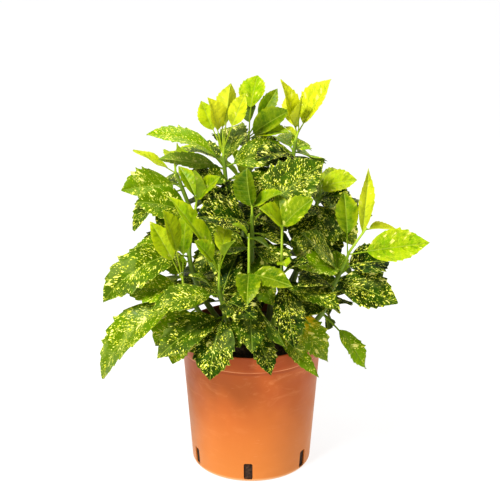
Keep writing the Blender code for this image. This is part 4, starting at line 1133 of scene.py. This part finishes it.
def build_plant():
    """One fine piece for each stem or shoot, in the place of its solid."""
    old_looks = [old_leaf_material(), stem_material("old_bark", (66, 74, 14), (106, 134, 22))]
    young_looks = [young_leaf_material(),
                   stem_material("young_bark", (120, 150, 18), (164, 190, 44))]
    draw = Random(SEED + 1)
    for name, (route, radii, leaves) in lay_out().items():
        young = name.startswith("shoot")
        look = YOUNG_LOOK if young else OLD_LOOK
        vertices, faces, stem_place = fine_stem(route, radii)
        points, place = [vertices], [stem_place]
        share, tone = [np.zeros((len(vertices), 3))], [np.zeros((len(vertices), 3))]
        slots = [1] * len(faces)
        start = len(vertices)
        for one in leaves:
            seed = draw.uniform(0, 1)
            light, flecks = tone_of(one, name, young, draw)
            for made in (fine_blade(one, look, draw), fine_rib(one, look)):
                some_points, some_faces, some_place, some_share, veins = made
                count = len(some_points)
                some_place[:, 2] = seed
                points.append(some_points)
                faces += [tuple(start + i for i in face) for face in some_faces]
                place.append(some_place)
                share.append(some_share)
                tone.append(np.column_stack((np.full(count, light), np.full(count, flecks), veins)))
                slots += [0] * len(some_faces)
                start += count
        piece = make_piece(name + "_fine", np.concatenate(points), faces,
                           young_looks if young else old_looks)
        piece.data.polygons.foreach_set("material_index", slots)
        for layer, values in (("leaf_place", place), ("leaf_share", share), ("leaf_tone", tone)):
            give_vectors(piece.data, layer, np.concatenate(values))
        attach(piece, "root")
        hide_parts(name)


def fine_pot_profile():
    """The pot's outline with its roundings drawn finely."""
    under = wall_radius(COLLAR)
    foot = FOOT_RADIUS - FOOT_ROUND
    profile = [(0, 0), (foot * 0.5, 0)]
    for k in range(9):
        a = pi / 2 * k / 8
        profile.append((foot + FOOT_ROUND * sin(a), FOOT_ROUND * (1 - cos(a))))
    for k in range(1, 9):
        height = FOOT_ROUND + (COLLAR - FOOT_ROUND) * k / 9
        profile.append((wall_radius(height), height))
    profile += [
        (under, COLLAR - 0.8 * MM), (under + 0.25 * MM, COLLAR - 0.1 * MM),
        (RIM_RADIUS - 1.1 * MM, COLLAR + 0.5 * MM), (RIM_RADIUS - 0.6 * MM, COLLAR + 1.2 * MM),
        (RIM_RADIUS - 0.2 * MM, COLLAR + 8 * MM), (RIM_RADIUS, POT_HEIGHT - 4 * MM),
    ]
    for k in range(7):
        a = pi * k / 6
        profile.append((RIM_RADIUS - LIP + LIP * cos(a), POT_HEIGHT - LIP + LIP * sin(a)))
    return profile + inner_profile()


def slot_cutter(turn):
    """A block with round corners that goes through the pot's wall at a turn."""
    half = SLOT_WIDTH / 2 - SLOT_CORNER
    low, high = SLOT_LIFT + SLOT_CORNER, SLOT_LIFT + SLOT_HEIGHT - SLOT_CORNER
    outline = []
    for side, level, start in ((1, low, -pi / 2), (1, high, 0), (-1, high, pi / 2), (-1, low, pi)):
        for step in range(5):
            a = start + step * pi / 8
            outline.append((side * half + SLOT_CORNER * cos(a), level + SLOT_CORNER * sin(a)))
    out, across = Vector((cos(turn), sin(turn), 0)), Vector((-sin(turn), cos(turn), 0))
    points = []
    for reach in (FOOT_RADIUS - 12 * MM, FOOT_RADIUS + 10 * MM):
        points += [out * reach + across * x + Vector((0, 0, z)) for x, z in outline]
    count = len(outline)
    mesh = make_mesh("slot", points, [tuple(range(count)), tuple(range(count, 2 * count)),
                                      *ring_quads(2, count)])
    turn_outward(mesh)
    return bpy.data.objects.new("slot", mesh)


def build_pot():
    """The finely turned pot with its slots cut through."""
    pot = make_piece("pot_fine", *turned_surface(fine_pot_profile(), FINE_POT_SIDES),
                     [pot_material()], POT_SHARP)
    turn_outward(pot.data)
    cutters = bpy.data.collections.new("slots")
    bpy.context.scene.collection.children.link(cutters)
    for k in range(SLOT_COUNT):
        cutters.objects.link(slot_cutter(SLOT_FIRST + 2 * pi * k / SLOT_COUNT))
    cut = pot.modifiers.new("slots", "BOOLEAN")
    cut.operation, cut.solver = "DIFFERENCE", "EXACT"
    cut.operand_type, cut.collection = "COLLECTION", cutters
    graph = bpy.context.evaluated_depsgraph_get()
    result = bpy.data.meshes.new_from_object(pot.evaluated_get(graph))
    pot.modifiers.clear()
    pot.data = result
    for cutter in list(cutters.objects):
        bpy.data.objects.remove(cutter)
    bpy.data.collections.remove(cutters)
    result.shade_smooth()
    result.set_sharp_from_angle(angle=radians(POT_SHARP))
    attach(pot, "root")
    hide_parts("pot")


POT_INSIDE = (wall_radius(COLLAR) - WALL) * cos(pi / POT_SIDES)


def soil_point(x, y):
    """A point of the soil's top: the source's lumps, with finer ones on them."""
    lump = sin(x * 190 + 1.3) * cos(y * 160) + 0.7 * sin(x * 410 + y * 370)
    edge = 1 - min(1, (sqrt(x * x + y * y) / POT_INSIDE) ** 4)
    fine = sin(x * 900 + 2 * sin(y * 700)) * sin(y * 860 + 2 * sin(x * 640))
    return x, y, SOIL_TOP + (lump * SOIL_LUMP + fine * SOIL_FINE_LUMP) * edge


def build_soil():
    """Soil with a crumbly top and loose crumbs on it."""
    radius = POT_INSIDE - GAP
    low = (FOOT_RADIUS - WALL) * cos(pi / POT_SIDES) - GAP
    outline = [(low * 0.97, FLOOR + GAP), (low, FOOT_ROUND + GAP),
               (radius - 0.3 * MM, SOIL_TOP - 4 * MM)]
    around = circle(SOIL_SIDES)
    vertices = [(r * c, r * s, z) for r, z in outline for c, s in around]
    for ring in range(SOIL_RINGS):
        r = radius * (1 - ring / SOIL_RINGS)
        vertices += [soil_point(r * c, r * s) for c, s in around]
    faces = ring_quads(len(outline) + SOIL_RINGS, SOIL_SIDES)
    middle = len(vertices)
    last, bottom = middle - SOIL_SIDES, middle + 1
    vertices += [soil_point(0, 0), (0, 0, FLOOR + GAP)]
    for k in range(SOIL_SIDES):
        after = (k + 1) % SOIL_SIDES
        faces += [(last + k, last + after, middle), (after, k, bottom)]
    draw = Random(SEED + 2)
    for _ in range(CRUMBS):
        r = radius * 0.97 * draw.uniform(0, 1) ** 0.5
        turn = draw.uniform(0, 2 * pi)
        x, y, z = soil_point(r * cos(turn), r * sin(turn))
        size = draw.uniform(*CRUMB_SIZES) * MM
        add_crumb(vertices, faces, Vector((x, y, z + size * 0.2)), size, draw)
    soil = make_piece("soil_fine", vertices, faces, [soil_material()])
    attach(soil, "root")
    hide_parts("soil")


def add_crumb(vertices, faces, place, size, draw):
    """One rough crumb: a squashed octahedron with its corners moved about."""
    start = len(vertices)
    stretch = Vector((draw.uniform(0.7, 1.7), draw.uniform(0.7, 1.3), draw.uniform(0.5, 0.9)))
    turn = draw.uniform(0, 2 * pi)
    c, s = cos(turn), sin(turn)
    for corner in ((1, 0, 0), (-1, 0, 0), (0, 1, 0), (0, -1, 0), (0, 0, 1), (0, 0, -1)):
        v = Vector([a * b * draw.uniform(0.75, 1.2) for a, b in zip(corner, stretch)]) * size
        v += Vector([draw.uniform(-0.2, 0.2) * size for _ in range(3)])
        vertices.append(place + Vector((v.x * c - v.y * s, v.x * s + v.y * c, v.z)))
    for corners in ((0, 2, 4), (2, 1, 4), (1, 3, 4), (3, 0, 4), (2, 0, 5), (1, 2, 5), (3, 1, 5),
                    (0, 3, 5)):
        faces.append(tuple(start + k for k in corners))


# Studio

def build_stage():
    """A pale floor that runs up behind the plant in one sweep."""
    profile = [(FLOOR_FRONT, 0.0), (FLOOR_BACK, 0.0)]
    for k in range(1, 13):
        a = pi / 2 * k / 12
        profile.append((FLOOR_BACK + FLOOR_BEND * sin(a), FLOOR_BEND * (1 - cos(a))))
    profile.append((FLOOR_BACK + FLOOR_BEND, FLOOR_TOP))
    vertices = [(x, y, z) for y, z in profile for x in (-FLOOR_HALF, FLOOR_HALF)]
    faces = [(k, k + 1, k + 3, k + 2) for k in range(0, 2 * len(profile) - 2, 2)]
    n = Nodes("studio_floor")
    n.surface({"Base Color": FLOOR_GREY, "Roughness": 1.0, "Specular IOR Level": 0.0,
               "Emission Color": (255, 255, 255), "Emission Strength": FLOOR_GLOW})
    floor = make_piece("studio_floor", vertices, faces, [n.material], 80)


def add_area(name, place, target, size, power):
    """A square soft light at a place, turned to a target."""
    light = bpy.data.lights.new(name, "AREA")
    light.shape = "SQUARE"
    light.size = size
    light.energy = power
    made = put_in_scene(name, light)
    made.location = place
    made.rotation_euler = (Vector(target) - Vector(place)).to_track_quat("-Z", "Y").to_euler()


def build_studio():
    scene = bpy.context.scene
    world = bpy.data.worlds.new("studio")
    world.use_nodes = True
    sky = world.node_tree.nodes["Background"].inputs
    sky[0].default_value, sky[1].default_value = SKY_COLOUR, SKY_STRENGTH
    scene.world = world
    for light in LIGHTS:
        add_area(*light)
    camera = bpy.data.cameras.new("camera")
    camera.lens = CAMERA_LENS
    camera.sensor_width = CAMERA_SENSOR
    scene.camera = put_in_scene("camera", camera)
    scene.camera.location = CAMERA_PLACE
    scene.camera.rotation_euler = (radians(90 - CAMERA_DOWN), 0, 0)
    scene.view_settings.view_transform = "Standard"
    scene.view_settings.look = "Medium High Contrast"
    scene.view_settings.exposure = 0
    scene.view_settings.gamma = 1


build_pot()
build_soil()
build_plant()
build_stage()
build_studio()
